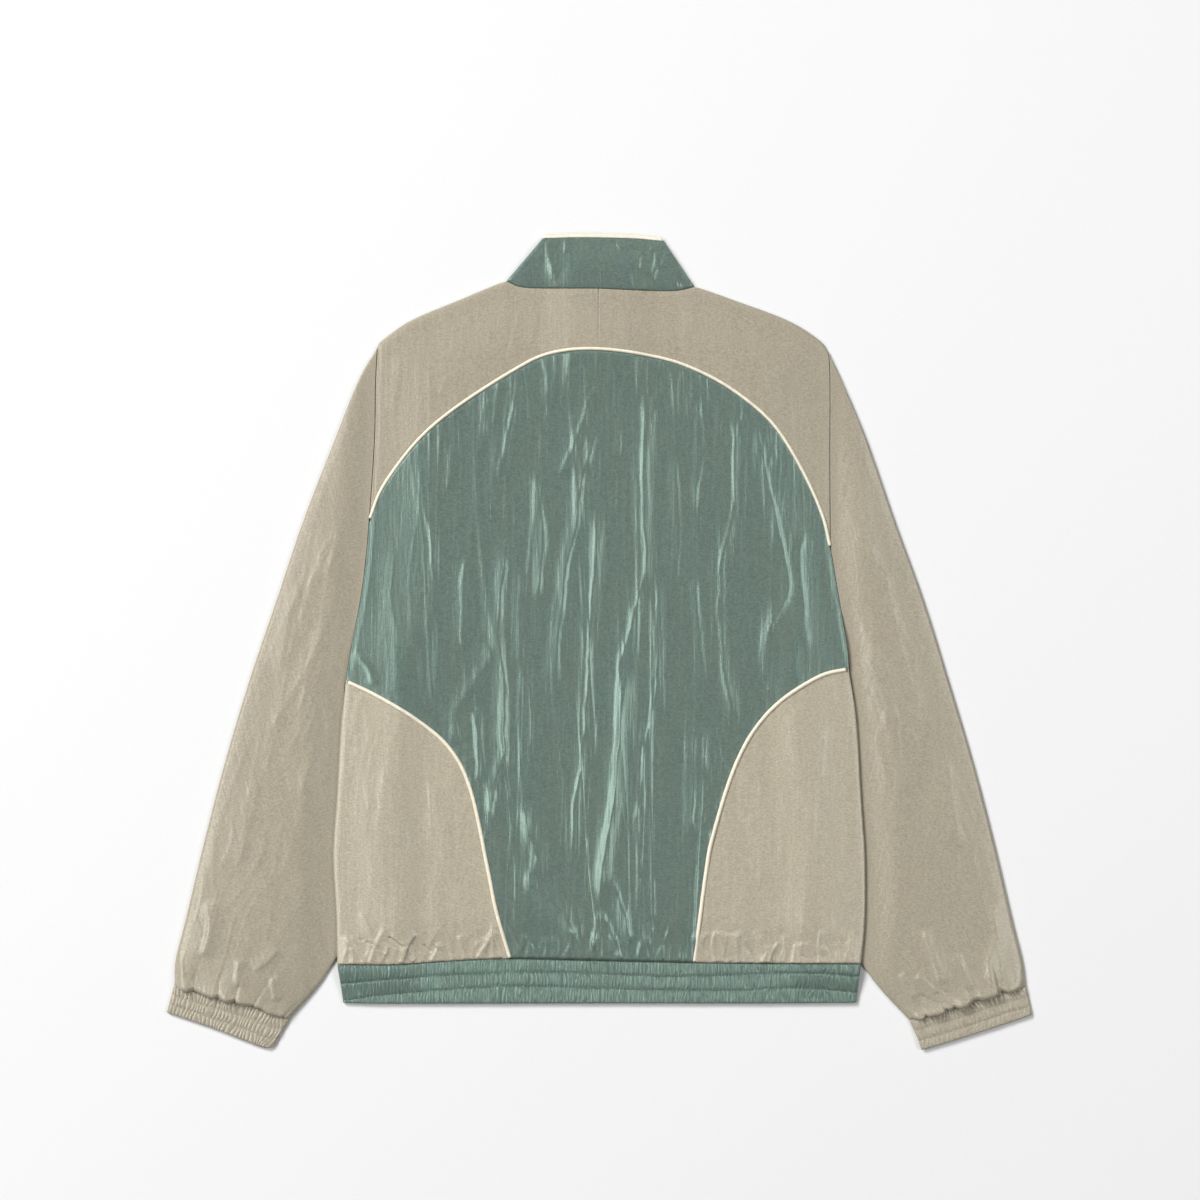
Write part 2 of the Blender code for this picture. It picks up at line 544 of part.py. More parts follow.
def build_front(side):
    """One hidden front: shoulder, armhole, side, hem, zip edge and neckline."""
    sign = SIGN[side]
    armhole = joined(ARMHOLE_HIGH[side], ARMHOLE_LOW[side])
    armhole[:, 0] -= sign * GAP / 2
    outside = joined(armhole, BODY_SIDES[side])
    shoulder = resample(smooth_path(SHOULDER[side], 40), FRONT_SHARES)
    shoulder[0] = outside[0]
    neckline = smooth_path(FRONT_NECK[side], NECKLINE_ROWS) - [0, GAP / 2]
    neckline[0] = shoulder[-1]
    hem = resample(hem_between(outside[-1][0], sign * FRONT_EDGE), FRONT_SHARES) + [0, GAP / 2]
    outside[-1] = hem[0]
    zip_edge = np.linspace(neckline[-1], hem[-1], len(outside) - NECKLINE_ROWS)
    inside = joined(neckline, zip_edge)
    plan = patch(shoulder, hem, outside, inside, FRONT_SHARES)
    front_panel(f"front_{side}", "beige", plan, ["top", "left"])


def sleeve_plan(side):
    """Outer edge, inner edge and the rows between them, from armhole to cuff."""
    outer = smooth_path(SLEEVE_OUTER[side], SLEEVE_ROWS)
    inner = smooth_path(SLEEVE_INNER[side], SLEEVE_ROWS)
    armhole = joined(ARMHOLE_HIGH[side], ARMHOLE_LOW[side])
    armhole[:, 0] += SIGN[side] * (GAP / 2 + GAP)
    cuff = smooth_path(CUFF_SEAM[side], SLEEVE_TOP)
    outer[0], inner[0] = armhole[0], armhole[-1]
    return patch(armhole, cuff, outer, inner)


def tube_rings(plan, top_height):
    """Outer and inner rings of a flattened tube whose plan rows are given."""
    outer, inner = [], []
    for row, heights in zip(plan, top_height):
        under = resample(row[::-1], SLEEVE_UNDER)
        across = row[-1] - row[0]
        across = across / np.linalg.norm(across)
        middle = (heights[0] + CLOTH) / 2
        top = row.copy()
        top[0] += across * FOLD_TIP
        top[-1] -= across * FOLD_TIP
        below = under.copy()
        below[0] -= across * FOLD_TIP
        below[-1] += across * FOLD_TIP
        far = [[*row[-1], middle]]
        near = [[*row[0], middle]]
        outer.append(np.vstack([np.column_stack([top, heights + CLOTH]), far,
                                np.column_stack([below, np.zeros(len(below))]), near]))
        top[0] += across * CLOTH
        top[-1] -= across * CLOTH
        below[0] -= across * CLOTH
        below[-1] += across * CLOTH
        hem_in = across * (CLOTH + FOLD_TIP * 0.6)
        far = [[*(row[-1] - hem_in), middle]]
        near = [[*(row[0] + hem_in), middle]]
        inner.append(np.vstack([np.column_stack([top, heights]), far,
                                np.column_stack([below, np.full(len(below), CLOTH)]), near]))
    return np.array(outer), np.array(inner)


def build_sleeve(side):
    plan = sleeve_plan(side)
    along = np.linspace(0, 1, len(plan))[:, None]
    across = np.linspace(0, 1, plan.shape[1])[None, :]
    top = sleeve_high(side, plan[..., 0], plan[..., 1], along, across)
    outer, inner = tube_rings(plan, top)
    wall(f"sleeve_{side}", "beige", outer, inner, closed=True)


def gathered(count, seed):
    """Uneven heights for the crest and the trough of each gather."""
    rng = random.Random(seed)
    heights = []
    for _ in range(count):
        heights += [rng.uniform(0.75, 1.15), rng.uniform(-0.1, 0.15)]
    return np.array(heights + [0.0])


def build_cuff(side):
    """An elastic cuff: a flattened tube, gathered and stitched into three channels."""
    steps = 2 * CUFF_GATHERS
    seam = smooth_path(CUFF_SEAM[side], steps)
    edge = smooth_path(CUFF_EDGE[side], steps)
    down = (edge - seam)[steps // 2]
    seam = seam + down / np.linalg.norm(down) * GAP * 1.5
    crest = gathered(CUFF_GATHERS, 11 if side == "left" else 23)
    crest[0] = 0.0
    plan = np.array([seam + (edge - seam) * share for share in HEM_BANDS])
    heights = np.array([CLOTH + GAP + swell + gather * crest
                        for swell, gather in zip(BAND_SWELL, BAND_GATHER)])
    heights[:, [0, -1]] = CLOTH + GAP
    plain = np.full((2, steps + 1), CLOTH + GAP)
    outer, _ = tube_rings(plan, heights)
    _, inner = tube_rings(plan[[0, -1]], plain)
    wall(f"cuff_{side}", "beige", outer, inner, closed=True)


def layered_band(name, colour, upper, lower, raised, plain_inside=False):
    """A band that runs under, round the left fold, over, and under again at the right.

    upper and lower hold plan rows: lower[side] runs from the fold to the zip.
    raised gives the height added to each upper point, row by row.
    """
    outer, inner = [], []
    for k, row in enumerate(upper):
        left, right = lower["left"][k], lower["right"][k]
        across = np.array([1.0, 0.0])
        top_low = high(row[:, 0], row[:, 1])
        top = row.copy()
        top[0] += across * FOLD_TIP
        top[-1] -= across * FOLD_TIP
        lefts, rights = left[::-1].copy(), right.copy()
        lefts[-1] += across * FOLD_TIP
        rights[0] -= across * FOLD_TIP
        floor = [low(part[:, 0], part[:, 1]) for part in (lefts, rights)]
        middle = [(floor[0][-1] + top_low[0] + CLOTH) / 2, (floor[1][0] + top_low[-1] + CLOTH) / 2]
        outer.append(np.vstack([np.column_stack([lefts, floor[0]]), [[*row[0], middle[0]]],
                                np.column_stack([top, top_low + CLOTH + raised[k]]),
                                [[*row[-1], middle[1]]], np.column_stack([rights, floor[1]])]))
        top[0] += across * CLOTH
        top[-1] -= across * CLOTH
        lefts[-1] += across * CLOTH
        rights[0] -= across * CLOTH
        reach = across * (CLOTH + FOLD_TIP * 0.6)
        inner.append(np.vstack([np.column_stack([lefts, floor[0] + CLOTH]),
                                [[*(row[0] + reach), middle[0]]],
                                np.column_stack([top, top_low]),
                                [[*(row[-1] - reach), middle[1]]],
                                np.column_stack([rights, floor[1] + CLOTH])]))
    if plain_inside:
        inner = [inner[0], inner[-1]]
    wall(name, colour, outer, inner)


def build_hem():
    """The elastic hem, gathered across the back and open at the zip."""
    steps = 2 * HEM_GATHERS
    seam = resample(HEM_LINE, steps) - [0, GAP]
    edge = smooth_path(HEM_EDGE, steps)
    upper = [seam + (edge - seam) * share for share in HEM_BANDS]
    crest = gathered(HEM_GATHERS, 5)
    crest[0] = 0.0
    raised = [swell + gather * crest for swell, gather in zip(BAND_SWELL, BAND_GATHER)]
    for row in raised:
        row[0] = row[-1] = 0.0
    lower = {}
    for side in SIDES:
        sign = SIGN[side]
        rows = []
        for row in upper:
            tip = row[0] if side == "left" else row[-1]
            rows.append(resample(np.array([tip, [sign * FRONT_EDGE, tip[1]]]), FRONT_SHARES))
        lower[side] = rows
    layered_band("hem_band", "green", upper, lower, raised, plain_inside=True)


def collar_rows(shares):
    """Plan rows of the collar from its seam to its top, above and below."""
    back_base, back_top = (joined(smooth_path(line["left"], NECK_STEPS),
                                  smooth_path(line["right"], NECK_STEPS)[::-1])
                           for line in (BACK_NECK, COLLAR_TOP))
    back_base = back_base + [0, GAP]
    upper = [back_base + (back_top - back_base) * share for share in shares]
    lower = {}
    for side in SIDES:
        base = smooth_path(FRONT_NECK[side], NECKLINE_ROWS) + [0, GAP]
        top = smooth_path(COLLAR_FRONT_TOP[side], NECKLINE_ROWS)
        lower[side] = [base + (top - base) * share for share in shares]
    return upper, lower


def build_collar():
    """Stand collar lying flat, with a cream edge along its top."""
    height = COLLAR_TOP["left"][-1][1] - BACK_NECK["left"][-1][1]
    trim = COLLAR_TRIM / height
    gap = GAP / height
    upper, lower = collar_rows([0.0, 0.33, 0.66, 1 - trim - gap])
    flat = [np.zeros(len(row)) for row in upper]
    layered_band("collar", "green", upper, lower, flat)
    upper, lower = collar_rows([1 - trim, 1.0])
    bead = [np.full(len(row), COLLAR_BEAD) for row in upper]
    for row in bead:
        row[0] = row[-1] = 0.0
    layered_band("collar_piping", "cream", upper, lower, bead)


def strip(name, colour, x_left, x_right, y_top, y_low, rise, thickness):
    """A flat strip down the front opening, following the lower layer."""
    y = np.linspace(y_top, y_low, ZIP_ROWS)
    plan = np.array([[[x_left, value], [x_right, value]] for value in y])
    outer = low(plan[..., 0], plan[..., 1]) + rise
    return wall(name, colour, with_height(plan, outer), with_height(plan, outer + thickness))


def build_zip():
    """Closed zip on the under side: two tapes, teeth, slider and pull tab."""
    hem_end = float(HEM_EDGE[2][1]) + 0.001
    tape_in = TEETH_HALF + GAP
    tape_out = FRONT_EDGE - GAP
    for side in SIDES:
        edges = sorted((SIGN[side] * tape_in, SIGN[side] * tape_out))
        strip(f"zip_tape_{side}", "cream", edges[0], edges[1], ZIP_TOP, hem_end, TAPE_RISE, TAPE)
    slider_low = ZIP_TOP - SLIDER_LENGTH
    strip("zip_teeth", "metal", -TEETH_HALF, TEETH_HALF, slider_low - GAP, hem_end, 0.0, CLOTH)
    build_slider(slider_low)


def box(name, low_corner, high_corner):
    size = [b - a for a, b in zip(low_corner, high_corner)]
    centre = [(a + b) / 2 for a, b in zip(low_corner, high_corner)]
    bpy.ops.mesh.primitive_cube_add(size=1, location=centre)
    obj = bpy.context.object
    obj.name = name
    obj.scale = size
    bpy.ops.object.transform_apply(location=False, rotation=False, scale=True)
    return obj


def cylinder(name, radius, length, centre):
    bpy.ops.mesh.primitive_cylinder_add(vertices=20, radius=radius, depth=length,
                                        location=centre, rotation=(0, math.pi / 2, 0))
    obj = bpy.context.object
    obj.name = name
    return obj


def keep(obj, colour):
    """Move a primitive into the jacket's collection with its material."""
    for collection in list(obj.users_collection):
        collection.objects.unlink(obj)
    PARTS.objects.link(obj)
    obj.data.materials.append(MATERIALS[colour])
    return obj


def combine(obj, other, operation):
    modifier = obj.modifiers.new(operation.title(), "BOOLEAN")
    modifier.operation = operation
    modifier.object = other
    for collection in list(other.users_collection):
        collection.objects.unlink(other)
    CUTTERS.objects.link(other)
    other.hide_render = True
    other.display_type = "WIRE"


def build_slider(slider_low):
    """Slider at the top of the zip, with two lugs and a pin that hold the pull tab."""
    hinge_y = slider_low + SLIDER_LENGTH * HINGE_SHARE
    base = float(low(np.array([0.0]), np.array([hinge_y]))[0])
    plate_top = base - GAP
    slider = keep(box("zip_slider", (-SLIDER_HALF, slider_low, plate_top - PLATE / 2),
                      (SLIDER_HALF, ZIP_TOP, base + SLIDER_HEIGHT)), "metal")
    plate = box("plate_cutter", (-PLATE_HALF, slider_low - PLATE, plate_top - PLATE),
                (PLATE_HALF, ZIP_TOP + PLATE / 2, plate_top))
    combine(slider, plate, "UNION")
    for sign in (-1, 1):
        inner = sign * LUG_HALF
        outer = sign * (LUG_HALF + LUG_WALL)
        lug = box("lug_cutter", (min(inner, outer), hinge_y - LUG_LENGTH, PIN_HEIGHT - EYE_HOLE),
                  (max(inner, outer), hinge_y + LUG_LENGTH, plate_top - PLATE / 2))
        combine(slider, lug, "UNION")
    pin = cylinder("pin_cutter", PIN_RADIUS, 2 * LUG_HALF + LUG_WALL, (0, hinge_y, PIN_HEIGHT))
    combine(slider, pin, "UNION")

    tab_top = hinge_y - EYE_RADIUS * 0.7
    tab = keep(box("pull_tab", (-TAB_HALF, tab_top - TAB_LENGTH, PIN_HEIGHT - TAB_THICKNESS / 2),
                   (TAB_HALF, tab_top - TAB_SHOULDER, PIN_HEIGHT + TAB_THICKNESS / 2)), "metal")
    neck_low = (-LUG_HALF + GAP, tab_top - TAB_SHOULDER - GAP, PIN_HEIGHT - TAB_THICKNESS / 2)
    neck_high = (LUG_HALF - GAP, hinge_y - EYE_HOLE, PIN_HEIGHT + TAB_THICKNESS / 2)
    neck = box("neck_cutter", neck_low, neck_high)
    combine(tab, neck, "UNION")
    eye_length = 2 * (LUG_HALF - GAP)
    combine(tab, cylinder("eye_cutter", EYE_RADIUS, eye_length, (0, hinge_y, PIN_HEIGHT)), "UNION")
    combine(tab, cylinder("hole_cutter", EYE_HOLE, EYE_CUT, (0, hinge_y, PIN_HEIGHT)), "DIFFERENCE")


# ---------------------------------------------------------------- scene
def make_material(name, colour):
    material = bpy.data.materials.new(name)
    material.use_nodes = True
    shader = material.node_tree.nodes["Principled BSDF"]
    shader.inputs["Base Color"].default_value = colour
    shader.inputs["Roughness"].default_value = 0.35 if name == "metal" else 0.55
    shader.inputs["Metallic"].default_value = 1.0 if name == "metal" else 0.0
    return material


def new_collection(name):
    collection = bpy.data.collections.new(name)
    bpy.context.scene.collection.children.link(collection)
    return collection


for old in list(bpy.data.objects):
    bpy.data.objects.remove(old, do_unlink=True)

PARTS = new_collection("track_jacket")
CUTTERS = new_collection("cutters")
MATERIALS = {name: make_material(name, colour) for name, colour in COLOURS.items()}
ARMHOLE_HIGH = {side: smooth_path(HIGH_ARMHOLE[side], YOKE_ROWS) for side in SIDES}
ARMHOLE_LOW = {side: smooth_path(LOW_ARMHOLE[side], LOW_ARMHOLE_ROWS) for side in SIDES}
SEAMS = {side: smooth_path(SIDE_SEAM[side], SIDE_ROWS) for side in SIDES}
BODY_SIDES = {side: smooth_path(BODY_SIDE[side], SIDE_ROWS) for side in SIDES}
HEM_LINE = smooth_path(HEM_SEAM, 40)
BODY_OUTLINE = {
    side: joined(SHOULDER[side][::-1], ARMHOLE_HIGH[side], ARMHOLE_LOW[side], BODY_SIDES[side])
    for side in SIDES
}

build_back()
for side in SIDES:
    build_front(side)
    build_sleeve(side)
    build_cuff(side)
build_hem()
build_collar()
build_zip()
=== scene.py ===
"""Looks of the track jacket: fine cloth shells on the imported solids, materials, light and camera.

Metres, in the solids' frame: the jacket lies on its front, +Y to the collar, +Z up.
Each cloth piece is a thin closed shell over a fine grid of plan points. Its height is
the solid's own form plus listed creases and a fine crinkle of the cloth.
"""
import math
import random
from collections import namedtuple

import bmesh
import bpy
import numpy as np
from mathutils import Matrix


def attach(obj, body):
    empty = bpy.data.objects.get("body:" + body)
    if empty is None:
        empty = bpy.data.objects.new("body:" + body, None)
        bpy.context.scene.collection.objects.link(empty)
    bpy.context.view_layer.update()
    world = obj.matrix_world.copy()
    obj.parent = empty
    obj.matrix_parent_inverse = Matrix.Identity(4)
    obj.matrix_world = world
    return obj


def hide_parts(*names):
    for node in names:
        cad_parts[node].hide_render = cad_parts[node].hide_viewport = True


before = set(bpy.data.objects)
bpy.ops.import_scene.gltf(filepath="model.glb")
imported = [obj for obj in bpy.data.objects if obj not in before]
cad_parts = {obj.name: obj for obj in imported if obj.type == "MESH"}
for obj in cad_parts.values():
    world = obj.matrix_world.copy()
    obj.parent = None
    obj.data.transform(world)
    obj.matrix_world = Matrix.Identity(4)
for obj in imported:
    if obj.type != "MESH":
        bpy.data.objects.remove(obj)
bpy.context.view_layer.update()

# Sizes shared with the solids
CLOTH = 0.0015
GAP = 0.0003
BODY_LOFT = 0.0045
EDGE_AIR = 0.0006
EDGE_REACH = 0.006
SLEEVE_LOFT = 0.0055
LOFT_REACH = 0.060
HEM_REACH = 0.040
SLEEVE_LIFT = 0.0038
LIFT_START = 0.075
LIFT_LENGTH = 0.055
LIFT_FLAT = 0.052
LIFT_RAMP = 0.034
LIFT_LOW = -0.3400
LIFT_LOW_RAMP = 0.0300
ZIP_LIFT = 0.0036
ZIP_LIFT_HALF = 0.060
ZIP_LIFT_SLOPE = 0.040
ZIP_LIFT_LOW = 0.215
ZIP_LIFT_RAMP = 0.060
ZIP_LIFT_TOP = 0.385
ZIP_LIFT_FADE = 0.035
FRONT_EDGE = 0.0100
PIPING_RADIUS = 0.0016
PIPING_HALF = PIPING_RADIUS * 0.8     # from a piped seam to the edge of the cloth beside it
COLLAR_TRIM = 0.0032
CENTRE_BACK = -0.0010

# Sizes of the finish
SHELL = 0.0005            # thickness of a cloth shell
SIDE_ROUND = 0.0030       # how far in from a side edge the cloth curls over,
SEAM_ROUND = 0.0006       # and beside a seam,
SEAM_DIP = 0.0004         # where it dips by this much
SIDE_PIPING_RADIUS = 0.0019
STITCH_LENGTH = 0.0026
STITCH_PITCH = 0.0034
STITCH_RADIUS = 0.00026

SIDES = ("left", "right")
SIGN = {"left": -1.0, "right": 1.0}
Spot = namedtuple("Spot", "x y")


def spots(*pairs):
    return np.array([Spot(*pair) for pair in pairs], dtype=float)


# Outlines, as in the solids: x then y of each place
SHOULDER = {
    "left": spots((-0.2110, 0.2805), (-0.2066, 0.2869), (-0.1791, 0.3059), (-0.1344, 0.3249),
                  (-0.1002, 0.3392), (-0.0884, 0.3432)),
    "right": spots((0.2180, 0.2751), (0.2095, 0.2869), (0.1791, 0.3059), (0.1287, 0.3249),
                   (0.1021, 0.3344), (0.0904, 0.3378)),
}
BACK_NECK = {
    "left": spots((-0.0884, 0.3432), (-0.0729, 0.3372), (-0.0400, 0.3360), (-0.0010, 0.3358)),
    "right": spots((0.0904, 0.3378), (0.0730, 0.3340), (0.0385, 0.3341), (-0.0010, 0.3358)),
}
FRONT_NECK = {
    "left": spots((-0.0884, 0.3432), (-0.0700, 0.3050), (-0.0400, 0.2740), (-0.0100, 0.2640)),
    "right": spots((0.0904, 0.3378), (0.0710, 0.3020), (0.0400, 0.2730), (0.0100, 0.2640)),
}
COLLAR_TOP = {
    "left": spots((-0.0520, 0.3868), (-0.0260, 0.3880), (-0.0010, 0.3880)),
    "right": spots((0.0596, 0.3842), (0.0330, 0.3870), (-0.0010, 0.3880)),
}
COLLAR_FRONT_TOP = {
    "left": spots((-0.0520, 0.3868), (-0.0450, 0.3600), (-0.0290, 0.3330), (-0.0100, 0.3180)),
    "right": spots((0.0596, 0.3842), (0.0500, 0.3580), (0.0310, 0.3320), (0.0100, 0.3180)),
}
HIGH_ARMHOLE = {
    "left": spots((-0.2110, 0.2805), (-0.2128, 0.2461), (-0.2138, 0.1919), (-0.2188, 0.1165)),
    "right": spots((0.2180, 0.2751), (0.2192, 0.2461), (0.2190, 0.1700), (0.2195, 0.0900)),
}
LOW_ARMHOLE = {
    "left": spots((-0.2188, 0.1165), (-0.2218, 0.0808), (-0.2266, 0.0437), (-0.2355, -0.0048),
                  (-0.2412, -0.0370)),
    "right": spots((0.2195, 0.0900), (0.2256, 0.0532), (0.2350, -0.0029), (0.2370, -0.0256)),
}
SIDE_SEAM = {
    "left": spots((-0.2412, -0.0370), (-0.2110, -0.0513), (-0.1746, -0.0731), (-0.1420, -0.1014),
                  (-0.1221, -0.1414), (-0.1055, -0.2183), (-0.0983, -0.2546), (-0.0850, -0.3012)),
    "right": spots((0.2370, -0.0256), (0.2095, -0.0323), (0.1731, -0.0550), (0.1458, -0.0850),
                   (0.1259, -0.1250), (0.1077, -0.1838), (0.1010, -0.2200), (0.0899, -0.3050)),
}
BODY_SIDE = {
    "left": spots((-0.2412, -0.0370), (-0.2456, -0.0836), (-0.2494, -0.1482), (-0.2528, -0.2033),
                  (-0.2500, -0.2584), (-0.2492, -0.3063)),
    "right": spots((0.2370, -0.0256), (0.2441, -0.0741), (0.2486, -0.1482), (0.2522, -0.2033),
                   (0.2522, -0.2622), (0.2486, -0.3056)),
}
ARCH = spots((-0.2188, 0.1165), (-0.2057, 0.1482), (-0.1746, 0.1896), (-0.1383, 0.2214),
             (-0.0838, 0.2569), (-0.0474, 0.2742), (-0.0010, 0.2783), (0.0550, 0.2706),
             (0.0914, 0.2587), (0.1277, 0.2387), (0.1641, 0.2079), (0.1913, 0.1661),
             (0.2113, 0.1225), (0.2195, 0.0900))
HEM_SEAM = spots((-0.2492, -0.3063), (-0.1933, -0.3065), (-0.1382, -0.3031), (-0.0850, -0.3012),
                 (0.0005, -0.3031), (0.0899, -0.3050), (0.1553, -0.3056), (0.2486, -0.3056))
HEM_STITCHING = (
    spots((-0.2456, -0.3249), (-0.1933, -0.3202), (-0.0841, -0.3145), (0.0176, -0.3164),
          (0.0784, -0.3183), (0.1914, -0.3145), (0.2470, -0.3183)),
    spots((-0.2440, -0.3411), (-0.1933, -0.3344), (-0.0841, -0.3278), (0.0176, -0.3301),
          (0.1259, -0.3316), (0.1914, -0.3292), (0.2470, -0.3335)),
)
HEM_EDGE = spots((-0.2438, -0.3432), (-0.1933, -0.3439), (0.0005, -0.3436), (0.1553, -0.3436),
                 (0.2445, -0.3430))
SLEEVE_OUTER = {
    "left": spots((-0.2110, 0.2805), (-0.2294, 0.2489), (-0.2522, 0.1919), (-0.2817, 0.1159),
                  (-0.3073, 0.0399), (-0.3330, -0.0361), (-0.3558, -0.1121), (-0.3757, -0.1881),
                  (-0.3938, -0.2641), (-0.4033, -0.3021), (-0.4045, -0.3254)),
    "right": spots((0.2180, 0.2751), (0.2304, 0.2489), (0.2541, 0.1919), (0.2807, 0.1159),
                   (0.3083, 0.0399), (0.3320, -0.0361), (0.3548, -0.1121), (0.3748, -0.1881),
                   (0.3928, -0.2641), (0.4023, -0.3021), (0.4057, -0.3274)),
}
SLEEVE_INNER = {
    "left": spots((-0.2412, -0.0370), (-0.2445, -0.0700), (-0.2290, -0.1120), (-0.2110, -0.1600),
                  (-0.2060, -0.2100), (-0.2170, -0.2600), (-0.2506, -0.3021), (-0.2674, -0.3274),
                  (-0.2946, -0.3587)),
    "right": spots((0.2370, -0.0256), (0.2425, -0.0620), (0.2290, -0.1080), (0.2110, -0.1600),
                   (0.2070, -0.2100), (0.2180, -0.2600), (0.2484, -0.3049), (0.2684, -0.3315),
                   (0.2945, -0.3594)),
}
CUFF_SEAM = {
    "left": spots((-0.4045, -0.3254), (-0.3729, -0.3354), (-0.3339, -0.3449), (-0.2946, -0.3587)),
    "right": spots((0.4057, -0.3274), (0.3748, -0.3341), (0.3406, -0.3461), (0.2945, -0.3594)),
}
CUFF_THIRDS = (0.36, 0.68)
CUFF_EDGE = {
    "left": spots((-0.4117, -0.3521), (-0.3672, -0.3674), (-0.3219, -0.3848), (-0.3102, -0.3856)),
    "right": spots((0.4117, -0.3547), (0.3615, -0.3715), (0.3111, -0.3870), (0.3071, -0.3864)),
}

# Folds, listed one by one: height, half width, then the places that each runs through. A fold
# reaches its full height after the share `root` of its length.
Fold = namedtuple("Fold", "height width path root", defaults=(0.12,))


def folds(*rows):
    return [Fold(height, width, spots(*path)) for height, width, *path in rows]


CENTRE_FOLDS = folds(
    (0.0022, 0.0026, (-0.078, 0.256), (-0.080, 0.228), (-0.091, 0.182), (-0.098, 0.150)),
    (0.0028, 0.0024, (-0.060, 0.163), (-0.054, 0.107), (-0.055, 0.071), (-0.060, 0.035)),
    (0.0024, 0.0026, (-0.004, 0.246), (-0.022, 0.195), (-0.040, 0.155)),
    (0.0030, 0.0028, (0.001, 0.219), (-0.015, 0.155), (-0.023, 0.103), (-0.031, 0.071),
     (-0.039, -0.007), (-0.039, -0.065)),
    (0.0015, 0.0030, (-0.170, 0.177), (-0.168, 0.135), (-0.159, 0.089), (-0.162, 0.008),
     (-0.156, -0.074)),
    (0.0014, 0.0022, (-0.108, 0.237), (-0.106, 0.192)),
    (0.0034, 0.0032, (0.044, 0.246), (0.041, 0.135), (0.044, 0.081), (0.033, 0.026),
     (0.020, -0.020), (0.019, -0.050)),
    (0.0038, 0.0032, (0.0033, -0.2556), (0.009, -0.272), (0.0154, -0.2885)),
    (0.0056, 0.0052, (0.023, -0.020), (0.020, -0.065), (0.015, -0.138), (0.003, -0.213),
     (-0.002, -0.258)),
    (0.0028, 0.0028, (0.146, 0.217), (0.156, 0.173), (0.164, 0.135), (0.175, 0.081),
     (0.180, 0.048), (0.160, 0.008), (0.158, -0.047)),
    (0.0026, 0.0026, (0.126, 0.228), (0.128, 0.135), (0.114, 0.063), (0.116, -0.011),
     (0.124, -0.065), (0.126, -0.102)),
    (0.0016, 0.0022, (0.019, 0.210), (0.019, 0.173)),
    (0.0014, 0.0022, (0.070, 0.256), (0.070, 0.219)),
    (0.0030, 0.0030, (-0.089, 0.103), (-0.093, 0.044), (-0.096, -0.001), (-0.088, -0.046),
     (-0.091, -0.083), (-0.088, -0.105), (-0.099, -0.133), (-0.104, -0.189)),
    (0.0022, 0.0024, (-0.128, 0.081), (-0.131, 0.044), (-0.131, -0.011)),
    (0.0022, 0.0026, (-0.110, 0.002), (-0.103, -0.015), (-0.115, -0.034), (-0.135, -0.068),
     (-0.132, -0.102)),
    (0.0028, 0.0022, (-0.121, -0.063), (-0.116, -0.091), (-0.115, -0.136)),
    (0.0020, 0.0024, (-0.073, 0.071), (-0.075, -0.029)),
    (0.0030, 0.0026, (-0.004, 0.135), (-0.005, 0.071), (-0.011, -0.011), (-0.010, -0.034),
     (-0.018, -0.119), (-0.024, -0.156), (-0.028, -0.231)),
    (0.0008, 0.0024, (-0.193, 0.095), (-0.198, 0.044), (-0.192, 0.008), (-0.191, -0.052)),
    (0.0024, 0.0026, (0.055, 0.081), (0.055, 0.008), (0.053, -0.047), (0.042, -0.102),
     (0.039, -0.148), (0.033, -0.177), (0.032, -0.203)),
    (0.0022, 0.0024, (0.197, 0.107), (0.191, 0.081), (0.195, 0.026), (0.197, -0.011)),
    (0.0020, 0.0026, (0.217, 0.089), (0.224, 0.048), (0.231, 0.000), (0.235, -0.021)),
    (0.0008, 0.0022, (-0.219, 0.116), (-0.229, 0.050), (-0.235, -0.008)),
    (0.0026, 0.0018, (-0.237, -0.008), (-0.222, -0.022), (-0.215, -0.044)),
    (0.0018, 0.0024, (0.090, 0.063), (0.096, 0.008), (0.102, -0.047)),
    (0.0018, 0.0022, (0.102, -0.080), (0.100, -0.110), (0.104, -0.148)),
    (0.0020, 0.0022, (0.090, -0.084), (0.090, -0.131), (0.088, -0.167), (0.096, -0.189)),
    (0.0044, 0.0060, (-0.074, -0.150), (-0.068, -0.178), (-0.059, -0.206), (-0.065, -0.231),
     (-0.042, -0.251), (-0.031, -0.268), (-0.031, -0.295)),
    (0.0016, 0.0020, (-0.100, -0.141), (-0.104, -0.165)),
    (0.0026, 0.0024, (-0.0009, -0.2560), (-0.0050, -0.2776), (-0.0077, -0.2940)),
    (0.0034, 0.0030, (0.0113, -0.2233), (0.0181, -0.2423), (0.0262, -0.2695), (0.0298, -0.2899)),
    (0.0020, 0.0022, (0.040, -0.266), (0.052, -0.300)),
    (0.0018, 0.0022, (0.052, -0.222), (0.052, -0.266)),
    (0.0016, 0.0018, (-0.088, -0.268), (-0.073, -0.293)),
    (0.0016, 0.0018, (-0.074, -0.272), (-0.060, -0.296)),
    (0.0014, 0.0018, (-0.040, 0.250), (-0.052, 0.205)),
    (0.0014, 0.0018, (0.095, 0.235), (0.097, 0.180), (0.090, 0.120)),
    (0.0014, 0.0020, (-0.140, 0.190), (-0.145, 0.140)),
    (0.0014, 0.0018, (0.072, 0.180), (0.076, 0.110), (0.072, 0.040)),
)
